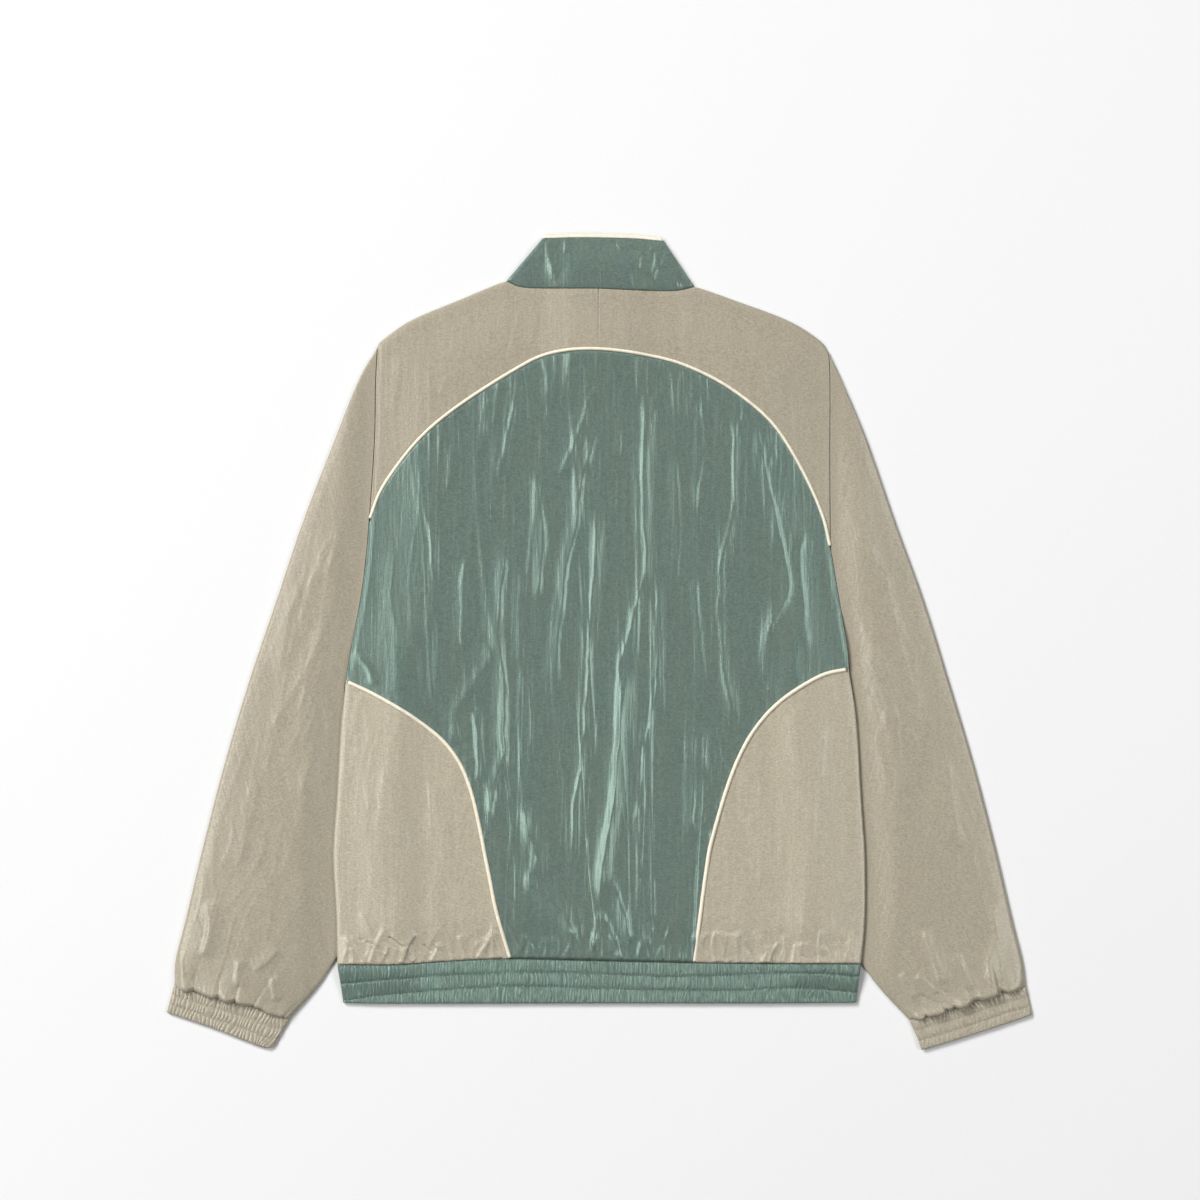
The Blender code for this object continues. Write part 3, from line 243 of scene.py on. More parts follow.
PANEL_FOLDS = folds(
    (0.0010, 0.0026, (-0.074, 0.321), (-0.081, 0.290), (-0.088, 0.265)),
    (0.0010, 0.0024, (-0.057, 0.315), (-0.065, 0.279)),
    (0.0008, 0.0030, (-0.144, 0.256), (-0.152, 0.232)),
    (0.0008, 0.0030, (0.062, 0.318), (0.070, 0.285)),
    (0.0008, 0.0030, (0.150, 0.285), (0.165, 0.235), (0.185, 0.195)),
    (0.0008, 0.0040, (-0.190, 0.270), (-0.196, 0.215)),
    (0.0016, 0.0028, (0.140, -0.163), (0.152, -0.200), (0.153, -0.233)),
    (0.0014, 0.0026, (0.170, -0.264), (0.165, -0.298)),
    (0.0014, 0.0022, (0.197, -0.286), (0.193, -0.298)),
    (0.0016, 0.0020, (-0.198, -0.278), (-0.178, -0.298)),
    (0.0016, 0.0020, (-0.222, -0.286), (-0.200, -0.298)),
    (0.0014, 0.0020, (-0.226, -0.256), (-0.214, -0.277)),
    (-0.0052, 0.0008, (-0.223, -0.285), (-0.213, -0.289), (-0.203, -0.296)),
    (-0.0050, 0.0008, (-0.200, -0.279), (-0.190, -0.287), (-0.183, -0.291)),
    (-0.0036, 0.0008, (-0.168, -0.288), (-0.160, -0.296)),
    (-0.0036, 0.0008, (-0.158, -0.287), (-0.151, -0.295)),
    (-0.0030, 0.0007, (-0.229, -0.283), (-0.224, -0.285)),
    (0.0010, 0.0040, (-0.205, -0.120), (-0.185, -0.180), (-0.170, -0.250)),
    (0.0010, 0.0040, (-0.160, -0.130), (-0.150, -0.190), (-0.140, -0.230)),
    (0.0012, 0.0024, (-0.150, -0.262), (-0.138, -0.296)),
    (0.0012, 0.0024, (-0.118, -0.270), (-0.112, -0.297)),
    (0.0010, 0.0040, (0.215, -0.080), (0.205, -0.150), (0.200, -0.220)),
    (0.0012, 0.0024, (0.120, -0.268), (0.126, -0.299)),
    (0.0012, 0.0024, (0.222, -0.262), (0.214, -0.299)),
)
COLLAR_FOLDS = folds(
    (0.0022, 0.0024, (-0.0500, 0.3830), (-0.0470, 0.3620), (-0.0425, 0.3480)),
    (0.0022, 0.0020, (-0.0540, 0.3790), (-0.0570, 0.3640)),
    (0.0022, 0.0020, (-0.0340, 0.3830), (-0.0320, 0.3700)),
    (0.0020, 0.0020, (-0.0450, 0.3600), (-0.0415, 0.3440)),
    (0.0020, 0.0018, (0.0160, 0.3790), (0.0220, 0.3720)),
    (0.0024, 0.0022, (0.0520, 0.3800), (0.0500, 0.3620), (0.0470, 0.3480)),
    (0.0022, 0.0020, (0.0560, 0.3800), (0.0530, 0.3700)),
    (0.0022, 0.0020, (0.0400, 0.3700), (0.0360, 0.3540)),
    (0.0022, 0.0020, (0.0640, 0.3720), (0.0600, 0.3560)),
    (0.0022, 0.0020, (0.0540, 0.3560), (0.0500, 0.3440)),
    (0.0028, 0.0018, (0.0860, 0.3440), (0.0760, 0.3400)),
    (-0.0040, 0.0009, (0.0860, 0.3410), (0.0740, 0.3385)),
)
SLEEVE_FOLDS = {
    "left": folds(
        (0.0040, 0.0044, (-0.373, -0.246), (-0.370, -0.273), (-0.378, -0.301)),
        (0.0026, 0.0030, (-0.400, -0.293), (-0.394, -0.319)),
        (0.0034, 0.0034, (-0.344, -0.301), (-0.343, -0.328)),
        (0.0034, 0.0030, (-0.303, -0.290), (-0.315, -0.303), (-0.330, -0.312)),
        (0.0034, 0.0030, (-0.312, -0.318), (-0.306, -0.342)),
        (0.0014, 0.0050, (-0.285, 0.060), (-0.296, 0.015), (-0.305, -0.030)),
        (0.0014, 0.0050, (-0.265, -0.050), (-0.272, -0.100), (-0.285, -0.150)),
        (0.0014, 0.0050, (-0.325, -0.130), (-0.332, -0.170), (-0.342, -0.215)),
    ),
    "right": folds(
        (0.0040, 0.0040, (0.308, -0.272), (0.318, -0.301), (0.324, -0.328)),
        (0.0036, 0.0034, (0.342, -0.295), (0.345, -0.312), (0.356, -0.330)),
        (0.0042, 0.0044, (0.372, -0.246), (0.377, -0.279), (0.370, -0.303), (0.372, -0.330)),
        (0.0034, 0.0026, (0.302, -0.315), (0.322, -0.334)),
        (0.0032, 0.0026, (0.285, -0.315), (0.300, -0.340)),
        (-0.0040, 0.0013, (0.305, -0.335), (0.325, -0.346)),
        (-0.0040, 0.0013, (0.327, -0.332), (0.342, -0.345)),
        (0.0014, 0.0050, (0.270, 0.070), (0.280, 0.020), (0.292, -0.025)),
        (0.0014, 0.0050, (0.270, -0.060), (0.279, -0.100), (0.290, -0.150)),
        (0.0014, 0.0050, (0.330, -0.110), (0.336, -0.155), (0.345, -0.200)),
    ),
}


# ---------------------------------------------------------------- curves in plan
def smooth_path(points, steps):
    """A smooth curve through the points, cut at equal lengths or at given shares."""
    knots = np.vstack([2 * points[0] - points[1], points, 2 * points[-1] - points[-2]])
    fine = []
    for a, b, c, d in zip(knots, knots[1:], knots[2:], knots[3:]):
        for t in np.linspace(0, 1, 24, endpoint=False):
            fine.append(0.5 * (2 * b + (c - a) * t + (2 * a - 5 * b + 4 * c - d) * t ** 2
                               + (3 * b - a - 3 * c + d) * t ** 3))
    fine.append(points[-1])
    return resample(np.array(fine), steps)


def path_length(path):
    return np.linalg.norm(np.diff(path, axis=0), axis=1).sum()


def resample(path, steps):
    """Places along a path at equal lengths, or at given shares of its length."""
    shares = np.linspace(0, 1, steps + 1) if np.isscalar(steps) else np.array(steps)
    lengths = np.concatenate([[0], np.cumsum(np.linalg.norm(np.diff(path, axis=0), axis=1))])
    wanted = shares * lengths[-1]
    return np.column_stack([np.interp(wanted, lengths, path[:, k]) for k in range(path.shape[1])])


def shifted(path, distance):
    """The path moved sideways, to the left of its own direction."""
    along = np.gradient(path, axis=0)
    along /= np.linalg.norm(along, axis=1)[:, None]
    return path + distance * np.column_stack([-along[:, 1], along[:, 0]])


def joined(*paths):
    return np.vstack([paths[0]] + [path[1:] for path in paths[1:]])


def patch(top, low_edge, left, right, rows_at=None, columns_at=None):
    """A grid of plan points filled in between four edges that share their corners."""
    v = np.linspace(0, 1, len(left)) if rows_at is None else np.array(rows_at)
    u = np.linspace(0, 1, len(top)) if columns_at is None else np.array(columns_at)
    v, u = v[:, None, None], u[None, :, None]
    edges = (1 - v) * top[None] + v * low_edge[None] + (1 - u) * left[:, None] + u * right[:, None]
    corners = ((1 - u) * (1 - v) * top[0] + u * (1 - v) * top[-1]
               + (1 - u) * v * low_edge[0] + u * v * low_edge[-1])
    return edges - corners


def crowded(count, edge, start=True, end=True):
    """Shares from 0 to 1, with a few extra ones crowded within `edge` of each end."""
    extra = np.array([0.12, 0.3, 0.6, 1.0]) * edge
    shares = [np.linspace(0, 1, count + 1)]
    if start:
        shares.append(extra)
    if end:
        shares.append(1 - extra)
    return np.unique(np.round(np.concatenate(shares), 6))


# ---------------------------------------------------------------- noise
NOISE_CELLS = 128         # a power of two, after which the noise repeats


def value_noise(x, y, seed):
    """Smooth noise from -1 to 1 with features one unit apart."""
    table = np.random.default_rng(seed).random((NOISE_CELLS, NOISE_CELLS)) * 2 - 1
    last = NOISE_CELLS - 1
    i, j = np.floor(x).astype(int), np.floor(y).astype(int)
    fx, fy = x - i, y - j
    fx, fy = fx * fx * (3 - 2 * fx), fy * fy * (3 - 2 * fy)
    i, j, i1, j1 = i & last, j & last, (i + 1) & last, (j + 1) & last
    low_row = table[i, j] * (1 - fx) + table[i1, j] * fx
    high_row = table[i, j1] * (1 - fx) + table[i1, j1] * fx
    return low_row * (1 - fy) + high_row * fy


def crinkle(across, along, pitch, length, seed):
    """Uneven creases, about `pitch` apart and `length` long, from 0 in a hollow to 1."""
    along = along + 0.8 * length * value_noise(across / (1.7 * pitch), along / (3 * length), seed + 3)
    bend = 0.9 * value_noise(across / (4 * pitch), along / (0.6 * length), seed + 1)
    field = value_noise(across / pitch + bend, along / length, seed)
    strength = 0.6 + 0.4 * value_noise(across / (5 * pitch), along / (1.3 * length), seed + 2)
    return np.clip(1 - 2.6 * np.abs(field), 0, 1) ** 1.5 * strength


def lobes(across, along, pitch, length, seed):
    """Round gathers parted by sharp tucks, from 0 in a tuck to 1 on a crown."""
    along = along + 0.6 * length * value_noise(across / (1.9 * pitch), along / (3 * length), seed + 3)
    bend = 0.7 * value_noise(across / (5 * pitch), along / (0.5 * length), seed + 1)
    field = value_noise(across / pitch + bend, along / length, seed)
    return np.clip(1.7 * np.abs(field), 0, 1) ** 0.5


def creased(across, along, rows):
    """Crinkles of several sizes together, each row a height, a pitch, a length and a seed."""
    return sum(height * crinkle(across, along, pitch, length, seed)
               for height, pitch, length, seed in rows)


# ---------------------------------------------------------------- heights
def ease(value):
    value = np.clip(value, 0.0, 1.0)
    return value * value * (3 - 2 * value)


def rounded(away, radius):
    """A quarter round: 0 at the edge itself, and 1 from `radius` inwards."""
    return np.sqrt(1 - (1 - np.clip(away / radius, 0, 1)) ** 2)


def distance_to(path, x, y):
    best = np.full(np.shape(x), 9.0)
    for (ax, ay), (bx, by) in zip(path, path[1:]):
        length = max((bx - ax) ** 2 + (by - ay) ** 2, 1e-18)
        along = np.clip(((x - ax) * (bx - ax) + (y - ay) * (by - ay)) / length, 0, 1)
        best = np.minimum(best, np.hypot(x - ax - along * (bx - ax), y - ay - along * (by - ay)))
    return best


def body_edge(side, y):
    path = BODY_OUTLINE[side]
    return np.interp(-y, -path[:, 1], path[:, 0])


def inside_edge(side, x, y):
    return (body_edge(side, y) - x) * SIGN[side]


def low(x, y):
    """Underside of the lower layer, as in the solids."""
    height = np.zeros(np.shape(x))
    for side in SIDES:
        underarm = LOW_ARMHOLE[side][-1][1]
        along = ease((underarm + LIFT_START - y) / LIFT_LENGTH)
        along = along * ease((y - LIFT_LOW) / LIFT_LOW_RAMP)
        across = 1 - ease((inside_edge(side, x, y) - LIFT_FLAT) / LIFT_RAMP)
        height = np.maximum(height, SLEEVE_LIFT * along * across)
    near_zip = ease((ZIP_LIFT_HALF - np.abs(x)) / ZIP_LIFT_SLOPE)
    near_zip = near_zip * ease((y - ZIP_LIFT_LOW) / ZIP_LIFT_RAMP)
    return height + ZIP_LIFT * near_zip * ease((ZIP_LIFT_TOP - y) / ZIP_LIFT_FADE)


def beside(path, x, y):
    """Signed distance from a path, the length run along it, and its whole length."""
    best, side, along, run = np.full(x.shape, 9.0), np.ones(x.shape), np.zeros(x.shape), 0.0
    for (ax, ay), (bx, by) in zip(path, path[1:]):
        length = math.hypot(bx - ax, by - ay)
        ux, uy = (bx - ax) / length, (by - ay) / length
        t = np.clip((x - ax) * ux + (y - ay) * uy, 0, length)
        away = np.hypot(x - ax - t * ux, y - ay - t * uy)
        closer = away < best
        best = np.where(closer, away, best)
        side = np.where(closer, np.sign((y - ay) * ux - (x - ax) * uy), side)
        along = np.where(closer, run + t, along)
        run += length
    return best * side, along, run


FOLD_REACH = 0.030
RIDGE_SHARE = 0.41
SOFT_FLANK = 3.2          # width of a fold's gentle flank, in widths of its steep one
FLANK_ROUND = 0.22        # how softly a flank runs out, in its own widths
SWELL_WIDTH = 0.0080      # each fold also lifts the cloth about it softly
SWELL_SHARE = 0.22
STREAK_REACH = 0.011
LONG_FOLD = 0.080         # shorter folds than this swell less
TALL_FOLD = 0.0024        # lower folds than this have weaker streaks beside them
COMB_PITCH = 0.0021       # fine streaks that run beside each fold
COMB_HEIGHT = 0.00018
COMB_REACH = 0.0070


def fold_relief(x, y, table):
    """Height of the folds, and how near a fold each place is, from 0 to 1."""
    height, near = np.zeros(np.shape(x)), np.zeros(np.shape(x))
    for number, fold in enumerate(table):
        path = smooth_path(fold.path, 6 * (len(fold.path) - 1))
        least, most = path.min(axis=0) - FOLD_REACH, path.max(axis=0) + FOLD_REACH
        box = (x > least[0]) & (x < most[0]) & (y > least[1]) & (y < most[1])
        if not box.any():
            continue
        aside, along, length = beside(path, x[box], y[box])
        row = np.full(along.shape, number * 7.3)
        wiggle = (0.0012 * value_noise(along / 0.018, row, 3)
                  + 0.0003 * value_noise(along / 0.007, row, 5))
        aside = aside - wiggle
        fade = ease(along / (fold.root * length)) * ease((length - along) / (0.16 * length))
        vary = 0.90 + 0.25 * value_noise(along / 0.040, row, 8)
        comb = value_noise(aside / COMB_PITCH, along / 0.035 + number * 3.1, 9)
        aside = aside if number % 2 else -aside
        width = fold.width * np.where(aside > 0, 1.0, SOFT_FLANK)
        ridge = vary * FLANK_ROUND * np.logaddexp(0, (1 - np.abs(aside) / width) / FLANK_ROUND)
        swell = np.exp(-(aside / SWELL_WIDTH) ** 2) * min(1, length / LONG_FOLD) * (fold.height > 0)
        combed = COMB_HEIGHT * comb * np.exp(-(aside / COMB_REACH) ** 2) * min(1, length / LONG_FOLD)
        combed = combed * min(1, abs(fold.height) / TALL_FOLD)
        combed = combed * (1 - 0.8 * np.exp(-(aside / fold.width) ** 2))
        height[box] += fade * (fold.height * (RIDGE_SHARE * ridge + SWELL_SHARE * swell) + combed)
        reach = fade * np.exp(-(aside / STREAK_REACH) ** 2) * min(1, abs(fold.height) / TALL_FOLD)
        near[box] = np.maximum(near[box], reach)
    return height, near


def seam_puckers(line, spacing, reach, height, slant, seed):
    """Short folds that start at a seam and run down from it, or up where reach is below 0."""
    chance = random.Random(seed)
    length = path_length(line)
    made, run = [], 0.5 * spacing
    while run < length:
        start = resample(line, [run / length])[0]
        size = chance.uniform(0.45, 1.0)
        lean = chance.uniform(-slant, slant)
        turn = chance.uniform(-0.003, 0.003)
        down = -reach * size
        path = spots(start, start + [lean * down / 2 + turn, down / 2], start + [lean * down, down])
        made.append(Fold(height * chance.uniform(0.4, 1.2), chance.uniform(0.0015, 0.0026), path, 0.04))
        run += spacing * chance.uniform(0.5, 1.7)
    return made


def scattered(outline, count, length, height, turn, seed):
    """Long low folds spread between two side lines, along the cloth's grain."""
    chance = random.Random(seed)
    left, right = outline
    made = []
    for _ in range(count):
        along, across = chance.uniform(0.02, 0.85), chance.uniform(0.06, 0.94)
        span = length * chance.uniform(0.4, 1.0)
        path = []
        for step in (0.0, 0.5, 1.0):
            a, b = resample(left, [along])[0], resample(right, [along])[0]
            place = a + (b - a) * across
            run = resample(left, [min(1, along + 0.02)])[0] - a
            run = run / np.linalg.norm(run)
            shift = chance.uniform(-1, 1) * turn * span
            path.append(place + run * span * step + np.array([-run[1], run[0]]) * shift)
        made.append(Fold(height * chance.uniform(0.5, 1.2), chance.uniform(0.0016, 0.0030),
                         np.array(path)))
    return made


def above_hem(x, y):
    return y - np.interp(x, HEM_LINE[:, 0], HEM_LINE[:, 1])


def edge_distance(x, y):
    return np.min([distance_to(BODY_OUTLINE[side], x, y) for side in SIDES]
                  + [distance_to(BACK_NECK[side], x, y) for side in SIDES], axis=0)


BACK_CREASES = ((0.00074, 0.0150, 0.240, 11), (0.00044, 0.0085, 0.170, 21))


def back_top(x, y, fine=1.0, table=()):
    """Top surface of the back, without the rounding of its edges."""
    from_edge = edge_distance(x, y)
    over_hem = above_hem(x, y)
    open_air = ease(from_edge / LOFT_REACH) * ease(over_hem / HEM_REACH)
    base = low(x, y) + 2 * CLOTH + GAP + EDGE_AIR * ease(from_edge / EDGE_REACH) + BODY_LOFT * open_air
    calm = ease(from_edge / 0.012) * ease((over_hem + 0.002) / 0.004)
    hush = ease(from_edge / 0.008) * (0.25 + 0.75 * ease((from_edge - 0.010) / 0.060))
    raised, near = fold_relief(x, y, table)
    finest = 0.00020 * crinkle(x, y, 0.0046, 0.100, 31)
    small = creased(x, y, BACK_CREASES) + (0.6 + near) * finest
    from_seam = distance_to(SEAM_LINES["arch"][::4], x, y)
    for side in SIDES:
        from_seam = np.minimum(from_seam, distance_to(SEAM_LINES[side][::2], x, y))
    gathers = 0.0004 * crinkle(x, y, 0.0060, 0.050, 41) * np.exp(-from_seam / 0.016)
    slant = x + 0.25 * over_hem
    tucks = 0.0006 * lobes(slant, y, 0.0060, 0.060, 51) * np.exp(-over_hem / 0.009)
    tucks = tucks * ease((over_hem + 0.002) / 0.004)
    return base + raised * calm + fine * small * hush + fine * gathers * open_air + tucks


# ---------------------------------------------------------------- meshes
def to_object(name, vertices, faces, material):
    mesh = bpy.data.meshes.new(name)
    mesh.from_pydata(vertices.tolist(), [], faces)
    bm = bmesh.new()
    bm.from_mesh(mesh)
    bmesh.ops.recalc_face_normals(bm, faces=bm.faces)
    bm.to_mesh(mesh)
    bm.free()
    mesh.shade_smooth()
    mesh.materials.append(material)
    obj = bpy.data.objects.new(name, mesh)
    bpy.context.scene.collection.objects.link(obj)
    return obj


def quads(rows, columns, closed, start=0):
    around = columns if closed else columns - 1
    i, j = np.meshgrid(np.arange(rows - 1), np.arange(around), indexing="ij")
    k = (j + 1) % columns
    corners = [i * columns + j, i * columns + k, (i + 1) * columns + k, (i + 1) * columns + j]
    return (np.stack(corners, axis=-1).reshape(-1, 4) + start).tolist()


def lowest_near(heights, reach):
    """Each height's least neighbour within `reach` steps, by rows and then by columns."""
    least = heights
    for axis in (0, 1):
        padded = np.pad(least, [(reach, reach) if k == axis else (0, 0) for k in (0, 1)], "edge")
        count = least.shape[axis]
        least = np.min([np.take(padded, range(k, k + count), axis) for k in range(2 * reach + 1)],
                       axis=0)
    return least


INNER_STEP = 4            # the hidden face of a shell has one point for this many of its outer ones


def picked(count, closed):
    places = list(range(0, count, INNER_STEP))
    if not closed and places[-1] != count - 1:
        places.append(count - 1)
    return places


def shell(name, node, outer, inner, material, closed=False):
    """A thin closed wall between two grids of points, standing for a solid."""
    rows, columns = outer.shape[:2]
    row_picks, column_picks = picked(rows, False), picked(columns, closed)
    inner = inner[np.ix_(row_picks, column_picks)]
    start, across = rows * columns, len(column_picks)
    faces = quads(rows, columns, closed) + quads(len(row_picks), across, closed, start)
    ends = column_picks + ([columns] if closed else [])
    for row, inner_row in ((0, 0), (rows - 1, len(row_picks) - 1)):
        for k, (a, b) in enumerate(zip(ends, ends[1:])):
            fine = [row * columns + j % columns for j in range(a, b + 1)]
            coarse = [start + inner_row * across + j % across for j in (k + 1, k)]
            faces.append(fine + coarse)
    if not closed:
        for column, inner_column in ((0, 0), (columns - 1, across - 1)):
            for k, (a, b) in enumerate(zip(row_picks, row_picks[1:])):
                fine = [i * columns + column for i in range(a, b + 1)]
                coarse = [start + i * across + inner_column for i in (k + 1, k)]
                faces.append(fine + coarse)
    vertices = np.vstack([outer.reshape(-1, 3), inner.reshape(-1, 3)])
    obj = to_object(name, vertices, faces, material)
    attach(obj, "jacket")
    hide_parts(node)
    return obj


def with_height(plan, height):
    return np.dstack([plan, height])


def back_panel(name, node, plan, material, curled=None, fine=1.0, table=()):
    """A panel of the back. Its edges dip into seams, but `curled` names an edge and how many
    of its points curl over the side instead."""
    x, y = plan[..., 0], plan[..., 1]
    top = back_top(x, y, fine, table)
    base = low(x, y)
    middle = base + CLOTH + 0.75 * GAP
    places = np.arange(x.size).reshape(x.shape)
    edges = {"top": places[0], "low": places[-1], "left": places[:, 0], "right": places[:, -1]}
    for edge, along in edges.items():
        count = (curled or {}).get(edge, 0)
        for part, is_curled in ((along[:count], True), (along[count:], False)):
            if not len(part):
                continue
            line = plan.reshape(-1, 2)[part]
            away = distance_to(np.vstack([line[::max(1, len(line) // 60)], line[-1:]]), x, y)
            away.ravel()[part] = 0.0
            arc = rounded(away, SIDE_ROUND if is_curled else SEAM_ROUND)
            top = middle + (top - middle) * arc if is_curled else top - SEAM_DIP * (1 - arc)
    under = np.maximum(lowest_near(top, INNER_STEP) - SHELL, base + CLOTH + 0.2 * GAP)
    top = np.maximum(top, lowest_near(under, 1) + 0.0001)
    return shell(name, node, with_height(plan, top), with_height(plan, under), material)


def hem_between(start, end):
    ends = sorted((start, end))
    inside = HEM_LINE[(HEM_LINE[:, 0] > ends[0] + 1e-4) & (HEM_LINE[:, 0] < ends[1] - 1e-4)]
    tips = [[x, np.interp(x, HEM_LINE[:, 0], HEM_LINE[:, 1])] for x in ends]
    line = np.vstack([tips[0], inside, tips[1]])
    return line if start < end else line[::-1]


# ---------------------------------------------------------------- back
def build_centre(material):
    half = PIPING_HALF
    columns = crowded(430, 0.002)
    top = shifted(resample(SEAM_LINES["arch"], columns), -half)
    armhole = {side: resample(ARMHOLE_LOW[side], 58) for side in SIDES}
    seams = {side: resample(SEAM_LINES[side], 136) for side in SIDES}
    left = np.vstack([armhole["left"][:-1], shifted(seams["left"], half)])
    right = np.vstack([armhole["right"][:-1], shifted(seams["right"], -half)])
    hem = resample(hem_between(left[-1][0], right[-1][0]), columns) + [0, GAP / 2]
    left[0], right[0], left[-1], right[-1] = top[0], top[-1], hem[0], hem[-1]
    plan = patch(top, hem, left, right, columns_at=columns)
    obj = back_panel("centre_back_cloth", "back_centre", plan, material, table=CENTRE_FOLDS)
    return obj


def start_at_armhole(path, side):
    path = path.copy()
    for share in np.linspace(0, 1, 200):
        place = path[0] + share * (path[1] - path[0])
        if inside_edge(side, place[0], place[1]) >= GAP / 2:
            path[0] = place
            return path
    return path


SHOULDER_SHARE = 0.62     # share of the yoke's top that is shoulder, the rest being neck


def build_yoke(side, material):
    half = PIPING_HALF
    arch = SEAM_LINES["arch"]
    split = int(np.argmin(np.abs(arch[:, 0] - CENTRE_BACK)))
    arch_half = arch[:split + 1] if side == "left" else arch[split:][::-1]
    columns = crowded(170, 0.005)
    low_edge = shifted(resample(arch_half, columns), half * -SIGN[side])
    low_edge = start_at_armhole(low_edge, side)
    low_edge[-1, 0] = CENTRE_BACK + SIGN[side] * GAP / 2
    outline = joined(smooth_path(SHOULDER[side], 60), smooth_path(BACK_NECK[side], 40))
    on_shoulder = columns <= SHOULDER_SHARE
    neck_shares = (columns[~on_shoulder] - SHOULDER_SHARE) / (1 - SHOULDER_SHARE)
    top = joined(resample(outline[:61], columns[on_shoulder] / SHOULDER_SHARE),
                 resample(outline[60:], np.concatenate([[0], neck_shares])))
    top[-1, 0] = low_edge[-1, 0]
    armhole = resample(smooth_path(HIGH_ARMHOLE[side], 60), 70)
    armhole[:, 0] -= SIGN[side] * GAP / 2
    armhole[0], armhole[-1] = top[0], low_edge[0]
    centre = np.linspace(top[-1], low_edge[-1], 71)
    plan = patch(top, low_edge, armhole, centre, columns_at=columns)
    obj = back_panel(f"yoke_cloth_{side}", f"back_yoke_{side}", plan, material,
                     {"top": int(np.sum(on_shoulder))}, 0.45, PANEL_FOLDS)
    return obj


def build_side(side, material):
    half = PIPING_HALF * SIGN[side]
    rows = np.unique(np.concatenate([np.linspace(0, 0.90, 112), np.linspace(0.90, 1, 44)]))
    edge = smooth_path(BODY_SIDE[side], rows)
    seam = shifted(resample(SEAM_LINES[side], rows), half)
    edge, seam = edge[1:], seam[1:]
    columns = crowded(170, 0.010)
    top = edge[0] + (seam[0] - edge[0]) * columns[:, None]
    hem = resample(hem_between(edge[-1][0], seam[-1][0]), columns) + [0, GAP / 2]
    edge[-1], seam[-1] = hem[0], hem[-1]
    plan = patch(top, hem, edge, seam, columns_at=columns)
    obj = back_panel(f"side_cloth_{side}", f"back_side_{side}", plan, material,
                     {"left": len(edge)}, 0.6, PANEL_FOLDS)
    return obj


# ---------------------------------------------------------------- fronts
FRONT_CREASES = ((0.0007, 0.016, 0.120, 61), (0.0004, 0.008, 0.050, 71))


def build_front(side, material):
    sign = SIGN[side]
    armhole = joined(smooth_path(HIGH_ARMHOLE[side], 30), smooth_path(LOW_ARMHOLE[side], 22))
    outside = joined(armhole, smooth_path(BODY_SIDE[side], 38))
    columns = crowded(46, 0.010)
    shoulder = smooth_path(SHOULDER[side], columns)
    shoulder[0] = outside[0]
    neckline = smooth_path(FRONT_NECK[side], 24) - [0, GAP / 2]
    neckline[0] = shoulder[-1]
    hem = resample(hem_between(outside[-1][0], sign * FRONT_EDGE), columns) + [0, GAP / 2]
    outside[-1] = hem[0]
    inside = joined(neckline, np.linspace(neckline[-1], hem[-1], len(outside) - 24))
    plan = patch(shoulder, hem, outside, inside, columns_at=columns)
    x, y = plan[..., 0], plan[..., 1]
    floor = low(x, y)
    middle = floor + CLOTH + 0.25 * GAP
    away = distance_to(outside[::2], x, y)
    away[:, 0] = 0
    away = np.minimum(away, distance_to(shoulder[::3], x, y))
    away[0] = 0
    curl = rounded(away, SIDE_ROUND)
    soft = creased(x, y, FRONT_CREASES)
    outer = middle + (floor - middle) * curl + np.minimum(soft * ease(away / 0.02), CLOTH * 0.5)
    inner = np.maximum(outer + SHELL, middle - 0.0001)
    inner = np.minimum(inner, middle + 0.0001)
    obj = shell(f"front_cloth_{side}", f"front_{side}", with_height(plan, outer),
                with_height(plan, inner), material)
    return obj


# ---------------------------------------------------------------- sleeves and cuffs
TUBE_TOP_ROUND = 1.3      # curl of a tube's upper and lower edge, in side roundings
TUBE_LOW_ROUND = 0.8


def tube(name, node, plan, top_height, material, under_columns, shares):
    """A flattened tube round plan rows: a full top, curled edges and a flat under side."""
    width = np.linalg.norm(plan[:, -1] - plan[:, 0], axis=1)[:, None]
    away = np.minimum(shares, 1 - shares)[None] * width
    middle = 0.5 * top_height.min(axis=1, keepdims=True)
    top = middle + (top_height - middle) * rounded(away, SIDE_ROUND * TUBE_TOP_ROUND)
    under_share = crowded(under_columns, 0.02)[::-1]
    under = np.array([resample(row, under_share[::-1])[::-1] for row in plan])[:, 1:-1]
    away = np.minimum(under_share, 1 - under_share)[None, 1:-1] * width
    floor = middle * (1 - rounded(away, SIDE_ROUND * TUBE_LOW_ROUND))
    outer = np.concatenate([with_height(plan, top), with_height(under, floor)], axis=1)
    centre = outer.mean(axis=1, keepdims=True)
    inward = centre - outer
    inward[..., 2] = 0
    flat = np.linalg.norm(inward, axis=2, keepdims=True)
    inner = outer + inward / np.maximum(flat, 1e-6) * np.minimum(SHELL * 2, flat)
    sunk = np.maximum(lowest_near(top, INNER_STEP) - SHELL, middle * 0.6)
    inner[..., 2] = np.concatenate([sunk, floor + SHELL], axis=1)
    return shell(name, node, outer, inner, material, closed=True)


BLOUSE_HANG = 0.0042      # how far the sleeve's gathers hang over the cuff
BLOUSE_ROLL = 0.0060
SLEEVE_LENGTH = 0.64
SLEEVE_WIDTH = 0.155      # at its widest, lying flat: it scales the pitch of the creases
END_ROWS_MM = (0.5, 1, 1.6, 2.3, 3.2, 4.2, 5.4, 6.8, 8.4, 10.5)
CLEAR_REACH = 0.034       # how far out of the body's edge the sleeve reaches its full height
CROWN_PITCH = 0.0160
SLEEVE_SEED = {"left": 101, "right": 201}


